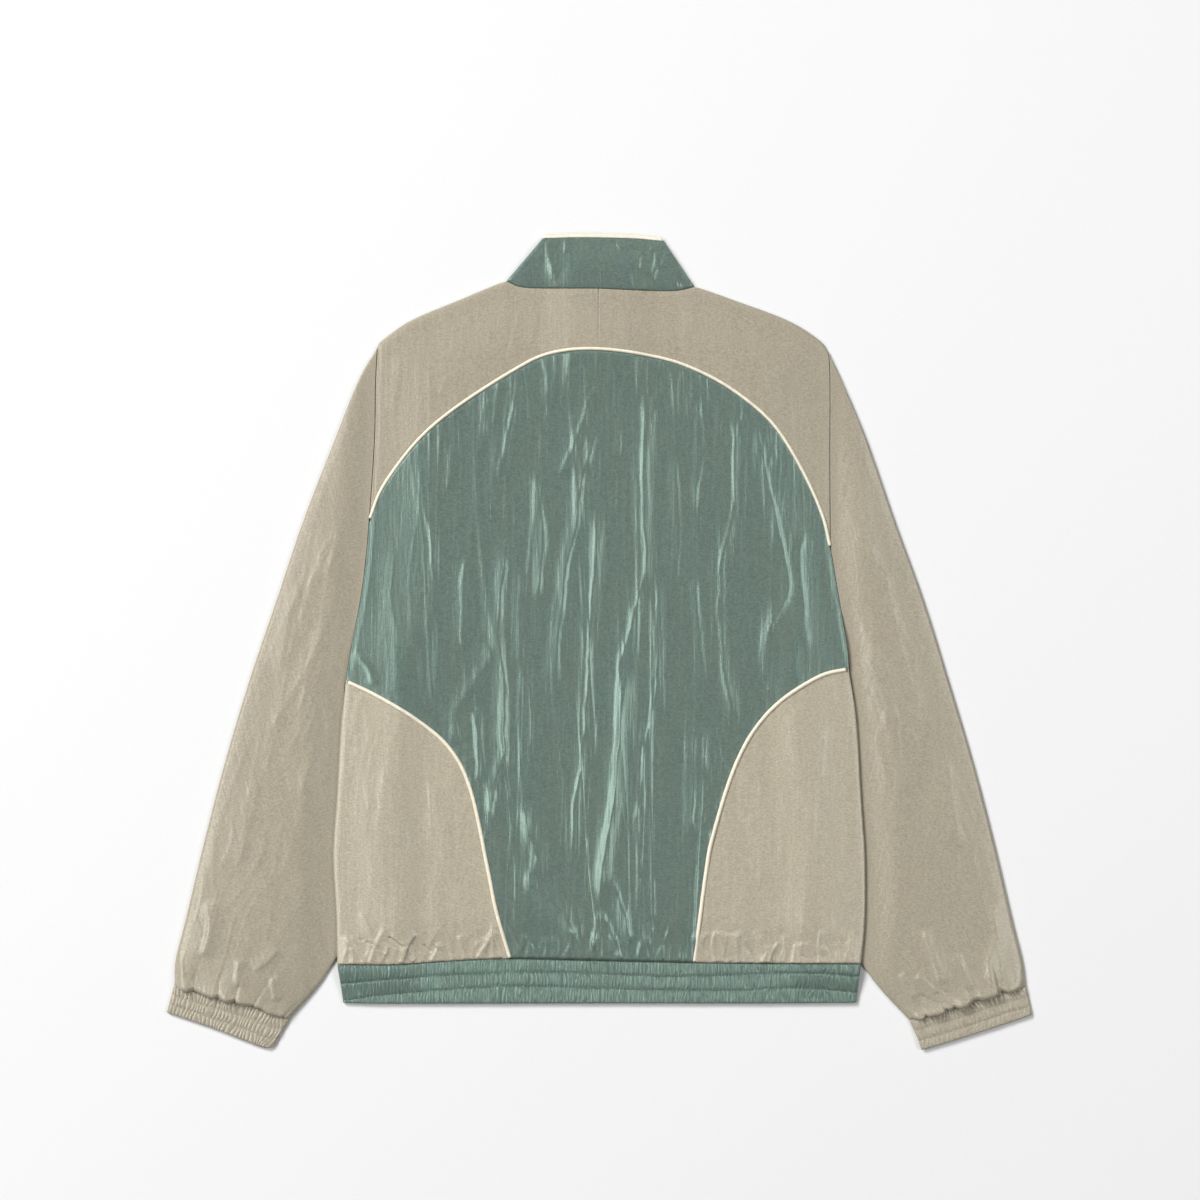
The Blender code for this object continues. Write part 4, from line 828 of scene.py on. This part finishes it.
def build_sleeve(side, material):
    length = SLEEVE_LENGTH
    end_rows = 1 - np.array(END_ROWS_MM) * 0.001 / length
    rows = np.unique(np.concatenate([np.linspace(0, 1, 250), end_rows]))
    columns = crowded(128, 0.02)
    outer_edge = smooth_path(SLEEVE_OUTER[side], rows)
    inner_edge = smooth_path(SLEEVE_INNER[side], rows)
    armhole = joined(smooth_path(HIGH_ARMHOLE[side], 60), smooth_path(LOW_ARMHOLE[side], 40))
    armhole = resample(armhole, columns)
    armhole[:, 0] += SIGN[side] * GAP * 1.5
    cuff = smooth_path(CUFF_SEAM[side], columns)
    outer_edge[0], inner_edge[0] = armhole[0], armhole[-1]
    plan = patch(armhole, cuff, outer_edge, inner_edge, rows_at=rows, columns_at=columns)
    x, y = plan[..., 0], plan[..., 1]
    along = rows[:, None] * np.ones(len(columns))
    across = columns[None] * np.ones((len(rows), 1))
    to_end = (1 - along) * length
    clear = ease((-inside_edge(side, x, y) - 0.001) / CLEAR_REACH)
    puff = np.sin(math.pi * across) ** 0.6 * ease(along / 0.06)
    edge = ease(np.minimum(across, 1 - across) / 0.08)
    raised, near = fold_relief(x, y, SLEEVE_FOLDS[side])
    u, v = across * SLEEVE_WIDTH, along * length
    seed = SLEEVE_SEED[side]
    small = creased(u, v, ((0.0004, 0.020, 0.140, seed), (0.0003, 0.010, 0.090, seed + 10)))
    small = small + (0.5 + near) * 0.00016 * crinkle(u, v, 0.0046, 0.050, seed + 20)
    crown = lobes(u, v, CROWN_PITCH, 0.200, seed + 30)
    gathers = 0.0036 * crown * np.exp(-to_end / 0.010) + 0.0014 * crown * np.exp(-to_end / 0.030)
    gathers = gathers + 0.0007 * lobes(u, v, 0.0050, 0.060, seed + 35) * np.exp(-to_end / 0.008)
    roll = rounded(to_end, BLOUSE_ROLL)
    seam_dip = SEAM_DIP * np.exp(-along * length / 0.0015)
    loft = SLEEVE_LOFT * puff + (raised + small) * edge
    rest = 2 * CLOTH + GAP
    cuff_clear = 0.0022 * edge * crown * np.exp(-to_end / 0.004)
    height = rest + clear * ((loft + gathers * edge) * roll + cuff_clear - seam_dip)
    hang = BLOUSE_HANG * crown[-1] * edge[-1] * np.exp(-to_end / 0.006)
    run = cuff - plan[-12]
    run = run / np.linalg.norm(run, axis=1)[:, None]
    plan = plan + run[None] * hang[..., None]
    obj = tube(f"sleeve_cloth_{side}", f"sleeve_{side}", plan, height, material, 26, columns)
    return obj


SHIRR_HEIGHT = 0.00085    # height of the fine gathers on the elastic
CHANNEL_SWELL = 0.0004
STITCH_DIP = 0.0007
STITCH_WIDTH = 0.0005
RISE_SHARE = 0.42         # part of each fine gather that rises, and the part that drops again
DROP_SHARE = 0.13
CUFF_PITCH = 0.0040
HEM_PITCH = 0.0033
CUFF_WIDTH = 0.118
CUFF_SEED = {"left": 301, "right": 401}
BAND_REST = 2 * CLOTH + GAP           # top of two flat layers


def pleated(distance, depth, pitch, seed):
    """Fine uneven gathers about `pitch` apart, each with a slope, a flat top and a sharp drop."""
    phase = (distance / pitch + 0.9 * value_noise(distance / (3 * pitch), depth / 0.030, seed)
             + 0.3 * value_noise(distance / (1.4 * pitch), depth / 0.014, seed + 1))
    number = np.floor(phase)
    part = phase - number
    tall = 0.70 + 0.30 * value_noise(number * 3.37 + 0.5, depth / 0.012, seed + 2)
    return tall * np.minimum(np.minimum(part / RISE_SHARE, 1.0), (1 - part) / DROP_SHARE)


def shirred(distance, away_lines, pitch, seed):
    """Height of an elastic band: fine gathers in channels, pulled down at the stitching."""
    channel = sum((away > 0).astype(float) for away in away_lines)
    nearest = np.min(np.abs(away_lines), axis=0)
    across = distance + 0.25 * pitch * value_noise(distance / (5 * pitch), channel * 3.7, seed + 9)
    depth = sum(away_lines)
    full = 1 - np.exp(-nearest / 0.0022)
    height = SHIRR_HEIGHT * (0.6 + 0.4 * full) * pleated(across, depth, pitch, seed)
    return height + CHANNEL_SWELL * full - STITCH_DIP * np.exp(-(nearest / STITCH_WIDTH) ** 2)


def build_cuff(side, material, thread):
    columns, rows = crowded(260, 0.02), 26
    seam = smooth_path(CUFF_SEAM[side], columns)
    edge = smooth_path(CUFF_EDGE[side], columns)
    down = (edge - seam)[len(seam) // 2]
    depth = np.linalg.norm(down)
    seam = seam + down / depth * GAP
    share = np.linspace(0, 1, rows + 1)[:, None]
    plan = seam[None] + (edge - seam)[None] * share[..., None]
    across = columns[None] * np.ones((rows + 1, 1))
    away_lines = [(share - third) * depth * np.ones_like(across) for third in CUFF_THIRDS]
    height = BAND_REST + shirred(across * CUFF_WIDTH, away_lines, CUFF_PITCH, CUFF_SEED[side])
    height = height - 0.0006 * (np.exp(-share / 0.05) + np.exp(-(1 - share) / 0.04))
    for third in CUFF_THIRDS:
        line = seam + (edge - seam) * third
        level = np.full(len(line), BAND_REST + SHIRR_HEIGHT * 0.35)
        stitch_line(line[6:-6], level[6:-6], thread)
    obj = tube(f"cuff_cloth_{side}", f"cuff_{side}", plan, height, material, 20, columns)
    return obj


# ---------------------------------------------------------------- hem band and collar
def layered_band(name, node, upper, lower, heights, material):
    """A band under, round the left fold, over, and under again at the right."""
    outer, inner = [], []
    for k, row in enumerate(upper):
        left, right = lower["left"][k][::-1], lower["right"][k]
        floor = [low(part[:, 0], part[:, 1]) for part in (left, right)]
        middle = low(row[:, 0], row[:, 1]) + CLOTH + GAP / 2
        away = np.minimum(np.linalg.norm(row - row[0], axis=1), np.linalg.norm(row - row[-1], axis=1))
        top = middle + (heights[k] - middle) * rounded(away, SIDE_ROUND)
        for part, height, fold in ((left, floor[0], left[-1]), (right, floor[1], right[0])):
            away = np.linalg.norm(part - fold, axis=1)
            height += (1 - rounded(away, SIDE_ROUND)) * (CLOTH + GAP / 2)
        outer.append(np.vstack([np.column_stack([left, floor[0]])[:-1], np.column_stack([row, top]),
                                np.column_stack([right, floor[1]])[1:]]))
        rise = np.concatenate([np.full(len(left) - 1, SHELL), np.full(len(row), -SHELL),
                               np.full(len(right) - 1, SHELL)])
        line = outer[-1].copy()
        line[:, 2] += rise
        ends = [len(left) - 1, len(left) + len(row) - 2]
        for place, step in ((ends[0], 1), (ends[1], -1)):
            line[place, 0] += step * SHELL * 2
            line[place, 2] += SHELL
        inner.append(line)
    return shell(name, node, np.array(outer), np.array(inner), material)


def build_hem(material, thread):
    columns, rows = crowded(1100, 0.004), 34
    seam = resample(HEM_LINE, columns) - [0, GAP]
    edge = smooth_path(HEM_EDGE, columns)
    shares = np.linspace(0, 1, rows + 1)
    upper = [seam + (edge - seam) * share for share in shares]
    lines = [smooth_path(line, 80) for line in HEM_STITCHING]
    heights = []
    for share, row in zip(shares, upper):
        x, y = row[:, 0], row[:, 1]
        away_lines = [np.interp(x, line[:, 0], line[:, 1]) - y for line in lines]
        base = low(x, y) + 2 * CLOTH + GAP
        slow = 0.5 + 0.5 * value_noise(x / 0.03, np.full(len(x), share * 1.5), 511)
        height = base + shirred(x, away_lines, HEM_PITCH, 501) + 0.0006 * slow
        heights.append(height - 0.0004 * (math.exp(-share / 0.03) + math.exp(-(1 - share) / 0.03)))
    for line in lines:
        inner = resample(line, np.linspace(0.008, 0.988, 400))
        level = low(inner[:, 0], inner[:, 1]) + 2 * CLOTH + GAP + SHIRR_HEIGHT * 0.40
        stitch_line(inner, level, thread)
    lower = {}
    for side in SIDES:
        under = crowded(30, 0.014, end=False)
        tips = [row[0] if side == "left" else row[-1] for row in upper]
        lower[side] = [tip + (np.array([SIGN[side] * FRONT_EDGE, tip[1]]) - tip) * under[:, None]
                       for tip in tips]
    obj = layered_band("hem_cloth", "hem_band", upper, lower, heights, material)
    return obj


def collar_band(name, node, shares, lift, material):
    columns = crowded(110, 0.012, end=False)
    base, top = (joined(smooth_path(line["left"], columns),
                        smooth_path(line["right"], columns)[::-1])
                 for line in (BACK_NECK, COLLAR_TOP))
    base = base + [0, GAP]
    upper = [base + (top - base) * share for share in shares]
    heights = []
    for share, row in zip(shares, upper):
        x, y = row[:, 0], row[:, 1]
        away = edge_distance(x, y)
        height = low(x, y) + 2 * CLOTH + GAP + EDGE_AIR * ease(away / EDGE_REACH)
        height = height + 0.0012 * math.sin(math.pi * share) + lift
        height = height + 0.0005 * crinkle(x, y, 0.014, 0.060, 601) + fold_relief(x, y, COLLAR_FOLDS)[0]
        heights.append(height - 0.0003 * math.exp(-share / 0.02))
    lower = {}
    for side in SIDES:
        under = crowded(26, 0.012, end=False)
        front_base = smooth_path(FRONT_NECK[side], under) + [0, GAP]
        front_top = smooth_path(COLLAR_FRONT_TOP[side], under)
        lower[side] = [front_base + (front_top - front_base) * share for share in shares]
        for row, top_row in zip(lower[side], upper):
            row[0] = top_row[0] if side == "left" else top_row[-1]
    obj = layered_band(name, node, upper, lower, heights, material)
    return obj


def build_collar(green, cream):
    height = COLLAR_TOP["left"][-1][1] - BACK_NECK["left"][-1][1]
    trim = COLLAR_TRIM / height
    collar_band("collar_cloth", "collar", np.linspace(0, 1 - trim - 0.004, 26), 0.0, green)
    collar_band("collar_edge", "collar_piping", np.linspace(1 - trim, 1, 6), 0.0005, cream)


# ---------------------------------------------------------------- piping and stitches
def cord_mesh(name, node, path, radius, material, sides=10):
    """A round cord along a path of places in space, closed at both ends."""
    along = np.gradient(path, axis=0)
    along /= np.linalg.norm(along, axis=1)[:, None]
    aside = np.cross(along, [0, 0, 1])
    aside /= np.linalg.norm(aside, axis=1)[:, None]
    above = np.cross(aside, along)
    angles = np.linspace(0, 2 * math.pi, sides, endpoint=False)
    rings = (path[:, None] + radius * (np.cos(angles)[None, :, None] * aside[:, None]
                                       + np.sin(angles)[None, :, None] * above[:, None]))
    count = len(path)
    faces = quads(count, sides, True)
    faces.append(list(range(sides)))
    faces.append([(count - 1) * sides + k for k in range(sides)])
    obj = to_object(name, rings.reshape(-1, 3), faces, material)
    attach(obj, "jacket")
    if node:
        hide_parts(node)
    return obj


def build_piping(material):
    for name, line, ends in (("arch_piping", SEAM_LINES["arch"], (0.0012, 0.0015)),
                             ("side_piping_left", SEAM_LINES["left"], (0.0030, 0.0012)),
                             ("side_piping_right", SEAM_LINES["right"], (0.0030, 0.0012))):
        length = path_length(line)
        shares = np.linspace(ends[0] / length, 1 - ends[1] / length, int(length / 0.002))
        path = resample(line, shares)
        height = back_top(path[:, 0], path[:, 1]) - SEAM_DIP * 0.5
        radius = PIPING_RADIUS if name == "arch_piping" else SIDE_PIPING_RADIUS
        cord_mesh(f"{name}_cord", name, np.column_stack([path, height]), radius, material)


STITCHES = {"vertices": [], "faces": [], "materials": []}
STITCH_SIDES = 5
# rings of a stitch: share of its length, thickness, and rise in radii
STITCH_RINGS = ((0.0, 0.3, -0.5), (0.2, 1.0, 0.2), (0.8, 1.0, 0.2), (1.0, 0.3, -0.5))


def stitch_line(line, level, material):
    """Small raised threads along a line in plan, gathered up for one mesh per material."""
    path = np.column_stack([line, level])
    length = path_length(path)
    count = int(length / STITCH_PITCH)
    starts = (np.arange(count) + 0.5) * STITCH_PITCH / length
    for start in starts:
        a, b = resample(path, [start, start + STITCH_LENGTH / length])
        along = (b - a) / np.linalg.norm(b - a)
        aside = np.array([-along[1], along[0], 0.0])
        rings = []
        for share, thick, rise in STITCH_RINGS:
            centre = a + (b - a) * share + [0, 0, rise * STITCH_RADIUS]
            for turn in range(STITCH_SIDES):
                angle = turn * math.tau / STITCH_SIDES
                spoke = math.cos(angle) * aside + math.sin(angle) * np.array([0, 0, 1.0])
                rings.append(centre + thick * STITCH_RADIUS * spoke)
        first = len(STITCHES["vertices"])
        STITCHES["vertices"].extend(rings)
        last = first + len(rings) - STITCH_SIDES
        faces = quads(len(STITCH_RINGS), STITCH_SIDES, True, first)
        faces += [[end + k for k in range(STITCH_SIDES)] for end in (first, last)]
        STITCHES["faces"].extend(faces)
        STITCHES["materials"].extend([material] * len(faces))


def build_stitches():
    for material in dict.fromkeys(STITCHES["materials"]):
        faces = [face for face, own in zip(STITCHES["faces"], STITCHES["materials"]) if own == material]
        used = sorted({corner for face in faces for corner in face})
        place = {corner: number for number, corner in enumerate(used)}
        obj = to_object(f"stitches_{material.name}", np.array([STITCHES["vertices"][k] for k in used]),
                        [[place[corner] for corner in face] for face in faces], material)
        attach(obj, "jacket")


# ---------------------------------------------------------------- materials
def new_material(name):
    material = bpy.data.materials.new(name)
    material.use_nodes = True
    tree = material.node_tree
    tree.nodes.clear()
    output = tree.nodes.new("ShaderNodeOutputMaterial")
    shader = tree.nodes.new("ShaderNodeBsdfPrincipled")
    tree.links.new(shader.outputs["BSDF"], output.inputs["Surface"])
    return material, tree, shader


def stretched(tree, scale, turn=0.0):
    """Object coordinates turned about Z, then scaled per axis."""
    coordinates = tree.nodes.new("ShaderNodeTexCoord")
    turned = tree.nodes.new("ShaderNodeMapping")
    turned.inputs["Rotation"].default_value = (0, 0, turn)
    mapping = tree.nodes.new("ShaderNodeMapping")
    mapping.inputs["Scale"].default_value = scale
    tree.links.new(coordinates.outputs["Object"], turned.inputs["Vector"])
    tree.links.new(turned.outputs["Vector"], mapping.inputs["Vector"])
    return mapping.outputs["Vector"]


def noise_texture(tree, scale, detail=3.0, roughness=0.55, turn=0.0, distortion=0.0):
    node = tree.nodes.new("ShaderNodeTexNoise")
    node.inputs["Scale"].default_value = 1.0
    node.inputs["Detail"].default_value = detail
    node.inputs["Roughness"].default_value = roughness
    node.inputs["Distortion"].default_value = distortion
    tree.links.new(stretched(tree, scale, turn), node.inputs["Vector"])
    return node.outputs["Fac"]


def ramp(tree, value, low_colour, high_colour, low_at=0.3, high_at=0.7):
    node = tree.nodes.new("ShaderNodeValToRGB")
    node.color_ramp.elements[0].position = low_at
    node.color_ramp.elements[1].position = high_at
    node.color_ramp.elements[0].color = (*low_colour, 1)
    node.color_ramp.elements[1].color = (*high_colour, 1)
    tree.links.new(value, node.inputs["Fac"])
    return node.outputs["Color"]


def bump(tree, height, distance, strength, under=None):
    node = tree.nodes.new("ShaderNodeBump")
    node.inputs["Distance"].default_value = distance
    node.inputs["Strength"].default_value = strength
    tree.links.new(height, node.inputs["Height"])
    if under is not None:
        tree.links.new(under, node.inputs["Normal"])
    return node.outputs["Normal"]


def nylon(name, base, other, glint, shine, turn=0.0, streak=0.0003, weave=0.12):
    """Thin shot nylon: streaks along the grain, two tones, and a close weave."""
    material, tree, shader = new_material(name)
    tones = noise_texture(tree, (60, 9, 9), 4.0, 0.6, turn)
    grain = noise_texture(tree, (420, 1000, 300), 2.0, 0.7, turn)
    colour = ramp(tree, tones, base, other, 0.35, 0.75)
    mix = tree.nodes.new("ShaderNodeMix")
    mix.data_type = "RGBA"
    mix.blend_type = "MULTIPLY"
    mix.inputs["Factor"].default_value = 1.0
    tree.links.new(colour, mix.inputs["A"])
    tree.links.new(ramp(tree, grain, (1 - 2 * weave,) * 3, (1.0,) * 3), mix.inputs["B"])
    tree.links.new(mix.outputs["Result"], shader.inputs["Base Color"])
    shader.inputs["Roughness"].default_value = 0.34
    shader.inputs["IOR"].default_value = 1.8
    shader.inputs["Specular IOR Level"].default_value = shine
    shader.inputs["Specular Tint"].default_value = (*glint, 1)
    fibre = noise_texture(tree, (360, 34, 24), 3.0, 0.6, turn, 0.9)
    fold = noise_texture(tree, (140, 14, 12), 2.0, 0.5, turn, 0.5)
    threads = noise_texture(tree, (900, 2400, 900), 1.0, 0.5, turn)
    normal = bump(tree, fold, streak * 1.3, 1.0)
    normal = bump(tree, fibre, streak, 1.0, normal)
    normal = bump(tree, threads, 0.00006, 1.0, normal)
    tree.links.new(normal, shader.inputs["Normal"])
    return material


def braid(name, dark, light):
    """Matt cord or thread: a fine diagonal twill."""
    material, tree, shader = new_material(name)
    mottle = noise_texture(tree, (300, 300, 300), 3.0)
    tree.links.new(ramp(tree, mottle, dark, light), shader.inputs["Base Color"])
    shader.inputs["Roughness"].default_value = 0.62
    wave = tree.nodes.new("ShaderNodeTexWave")
    wave.bands_direction = "DIAGONAL"
    wave.inputs["Scale"].default_value = 1.0
    wave.inputs["Distortion"].default_value = 1.5
    tree.links.new(stretched(tree, (260, 260, 260)), wave.inputs["Vector"])
    tree.links.new(bump(tree, wave.outputs["Fac"], 0.0003, 0.5), shader.inputs["Normal"])
    return material


def metal(name):
    material, tree, shader = new_material(name)
    scratches = noise_texture(tree, (400, 3000, 400), 3.0)
    tree.links.new(ramp(tree, scratches, (0.52, 0.51, 0.49), (0.70, 0.69, 0.66)),
                   shader.inputs["Base Color"])
    shader.inputs["Metallic"].default_value = 1.0
    shader.inputs["Roughness"].default_value = 0.34
    tree.links.new(bump(tree, scratches, 0.0001, 0.3), shader.inputs["Normal"])
    return material


# ---------------------------------------------------------------- stage
def build_stage():
    bpy.ops.mesh.primitive_plane_add(size=12, location=(0, 0, 0))
    floor = bpy.context.object
    floor.name = "floor"
    material, tree, shader = new_material("paper_ground")
    grain = noise_texture(tree, (900, 900, 900), 2.0)
    tree.links.new(ramp(tree, grain, (0.77, 0.77, 0.77), (0.81, 0.81, 0.81)),
                   shader.inputs["Base Color"])
    shader.inputs["Roughness"].default_value = 0.9
    floor.data.materials.append(material)


def strip_light(name, place, long, wide, power):
    """A long softbox facing the garment, its length across the line to it."""
    light = bpy.data.lights.new(name, "AREA")
    light.shape = "RECTANGLE"
    light.size = long
    light.size_y = wide
    light.energy = power
    obj = bpy.data.objects.new(name, light)
    bpy.context.scene.collection.objects.link(obj)
    obj.location = place
    x, y, z = place
    obj.rotation_euler = (math.atan2(math.hypot(x, y), z), 0, math.atan2(-y, -x) - math.pi / 2)
    return obj


# name, place, length, width and watts of each softbox that the cloth's sheen mirrors
SOFTBOXES = (
    ("key", (-3.0, 0.3, 3.1), 3.6, 1.8, 88),
    ("fill", (3.1, -0.1, 3.1), 3.6, 1.8, 70),
    ("head", (0.5, 3.2, 3.1), 3.0, 1.6, 8),
    ("foot", (-0.4, -3.2, 3.1), 3.0, 1.6, 10),
)
# this one gives the short soft shadow to the lower right, and no highlights
SHADOW_LIGHT = ("shadow_light", (-5.4, 6.0, 6.0), 3.2, 3.2, 980)


def build_lights():
    for softbox in SOFTBOXES:
        strip_light(*softbox)
    shadow_light = strip_light(*SHADOW_LIGHT)
    shadow_light.visible_glossy = False
    world = bpy.data.worlds.new("studio")
    world.use_nodes = True
    world.node_tree.nodes["Background"].inputs["Color"].default_value = (1, 1, 1, 1)
    world.node_tree.nodes["Background"].inputs["Strength"].default_value = 0.05
    bpy.context.scene.world = world


PIXEL = 0.00095           # real size of one pixel of the 1200-pixel photograph
IMAGE_PIXELS = 1200
LENS_MM = 100.0
SENSOR_MM = 36.0
VIEW_CENTRE = (0.0005, 0.0399)
CLOTH_LEVEL = 0.007


def build_camera():
    camera = bpy.data.cameras.new("camera")
    camera.lens = LENS_MM
    camera.sensor_width = SENSOR_MM
    obj = bpy.data.objects.new("camera", camera)
    bpy.context.scene.collection.objects.link(obj)
    distance = IMAGE_PIXELS * PIXEL * LENS_MM / SENSOR_MM
    obj.location = (*VIEW_CENTRE, distance + CLOTH_LEVEL)
    bpy.context.scene.camera = obj
    bpy.context.scene.view_settings.view_transform = "Standard"


# ---------------------------------------------------------------- assembly
ARMHOLE_LOW = {side: smooth_path(LOW_ARMHOLE[side], 60) for side in SIDES}
BODY_OUTLINE = {
    side: joined(SHOULDER[side][::-1], smooth_path(HIGH_ARMHOLE[side], 12),
                 smooth_path(LOW_ARMHOLE[side], 8), smooth_path(BODY_SIDE[side], 16))
    for side in SIDES
}
HEM_LINE = smooth_path(HEM_SEAM, 60)
SEAM_LINES = {"arch": smooth_path(ARCH, 160), "left": smooth_path(SIDE_SEAM["left"], 60),
              "right": smooth_path(SIDE_SEAM["right"], 60)}

HEM_PUCKERS = seam_puckers(HEM_LINE + [0, 0.0005], 0.0064, -0.036, 0.0030, 0.55, 5)
CENTRE_FOLDS += HEM_PUCKERS + seam_puckers(SEAM_LINES["arch"][44:128], 0.0110, 0.065, 0.0012, 0.16, 6)
CENTRE_FOLDS += seam_puckers(SEAM_LINES["left"][14:44], 0.0120, -0.030, 0.0012, 0.5, 8)
CENTRE_FOLDS += seam_puckers(SEAM_LINES["right"][14:44], 0.0120, -0.030, 0.0012, 0.5, 9)
PANEL_FOLDS += HEM_PUCKERS
for side in SIDES:
    PANEL_FOLDS += scattered((smooth_path(BODY_SIDE[side], 30), SEAM_LINES[side][::2]), 26, 0.090,
                             0.0006, 0.10, 12)
    SLEEVE_FOLDS[side] += scattered((smooth_path(SLEEVE_OUTER[side], 40),
                                     smooth_path(SLEEVE_INNER[side], 40)), 44, 0.110, 0.0007, 0.08, 14)

build_camera()
build_lights()
build_stage()
SLEEVE_TURN = {"left": math.radians(-14), "right": math.radians(14)}
GREEN_TONES = (0.168, 0.218, 0.185), (0.152, 0.218, 0.196)
BEIGE_TONES = (0.432, 0.386, 0.291), (0.461, 0.415, 0.315)
SIDE_TONES = (0.507, 0.455, 0.343), (0.538, 0.485, 0.368)
BAND_TONES = (0.132, 0.181, 0.151), (0.121, 0.179, 0.159)
MINT_GLINT = (0.72, 1.0, 0.86)
PALE_GLINT = (1.0, 0.97, 0.90)
GREEN = nylon("green_nylon_cloth", *GREEN_TONES, MINT_GLINT, 1.0, streak=0.00024, weave=0.24)
GATHERED = nylon("green_nylon_gathered", *BAND_TONES, MINT_GLINT, 0.9, streak=0.0010, weave=0.2)
BEIGE = nylon("beige_nylon_cloth", *BEIGE_TONES, PALE_GLINT, 0.5, streak=0.00025, weave=0.18)
BEIGE_SIDE = nylon("beige_nylon_side", *SIDE_TONES, PALE_GLINT, 0.5, streak=0.00025, weave=0.18)
BEIGE_SLEEVE = {side: nylon(f"beige_nylon_sleeve_{side}", *BEIGE_TONES, PALE_GLINT, 0.5, turn,
                            streak=0.00022, weave=0.18)
                for side, turn in SLEEVE_TURN.items()}
CREAM = braid("cream_braid", (0.80, 0.73, 0.58), (0.88, 0.82, 0.67))
METAL = metal("satin_metal")
GREEN_THREAD = braid("green_thread", (0.050, 0.080, 0.066), (0.075, 0.110, 0.092))
BEIGE_THREAD = braid("beige_thread", (0.36, 0.32, 0.24), (0.43, 0.385, 0.29))

build_centre(GREEN)
for side in SIDES:
    build_yoke(side, BEIGE)
    build_side(side, BEIGE_SIDE)
    build_front(side, BEIGE)
    build_sleeve(side, BEIGE_SLEEVE[side])
    build_cuff(side, BEIGE_SLEEVE[side], BEIGE_THREAD)
build_hem(GATHERED, GREEN_THREAD)
build_stitches()
build_collar(GREEN, CREAM)
build_piping(CREAM)
for node, material in (("zip_tape_left", CREAM), ("zip_tape_right", CREAM), ("zip_teeth", METAL),
                       ("zip_slider", METAL), ("pull_tab", METAL)):
    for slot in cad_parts[node].material_slots:
        slot.material = material
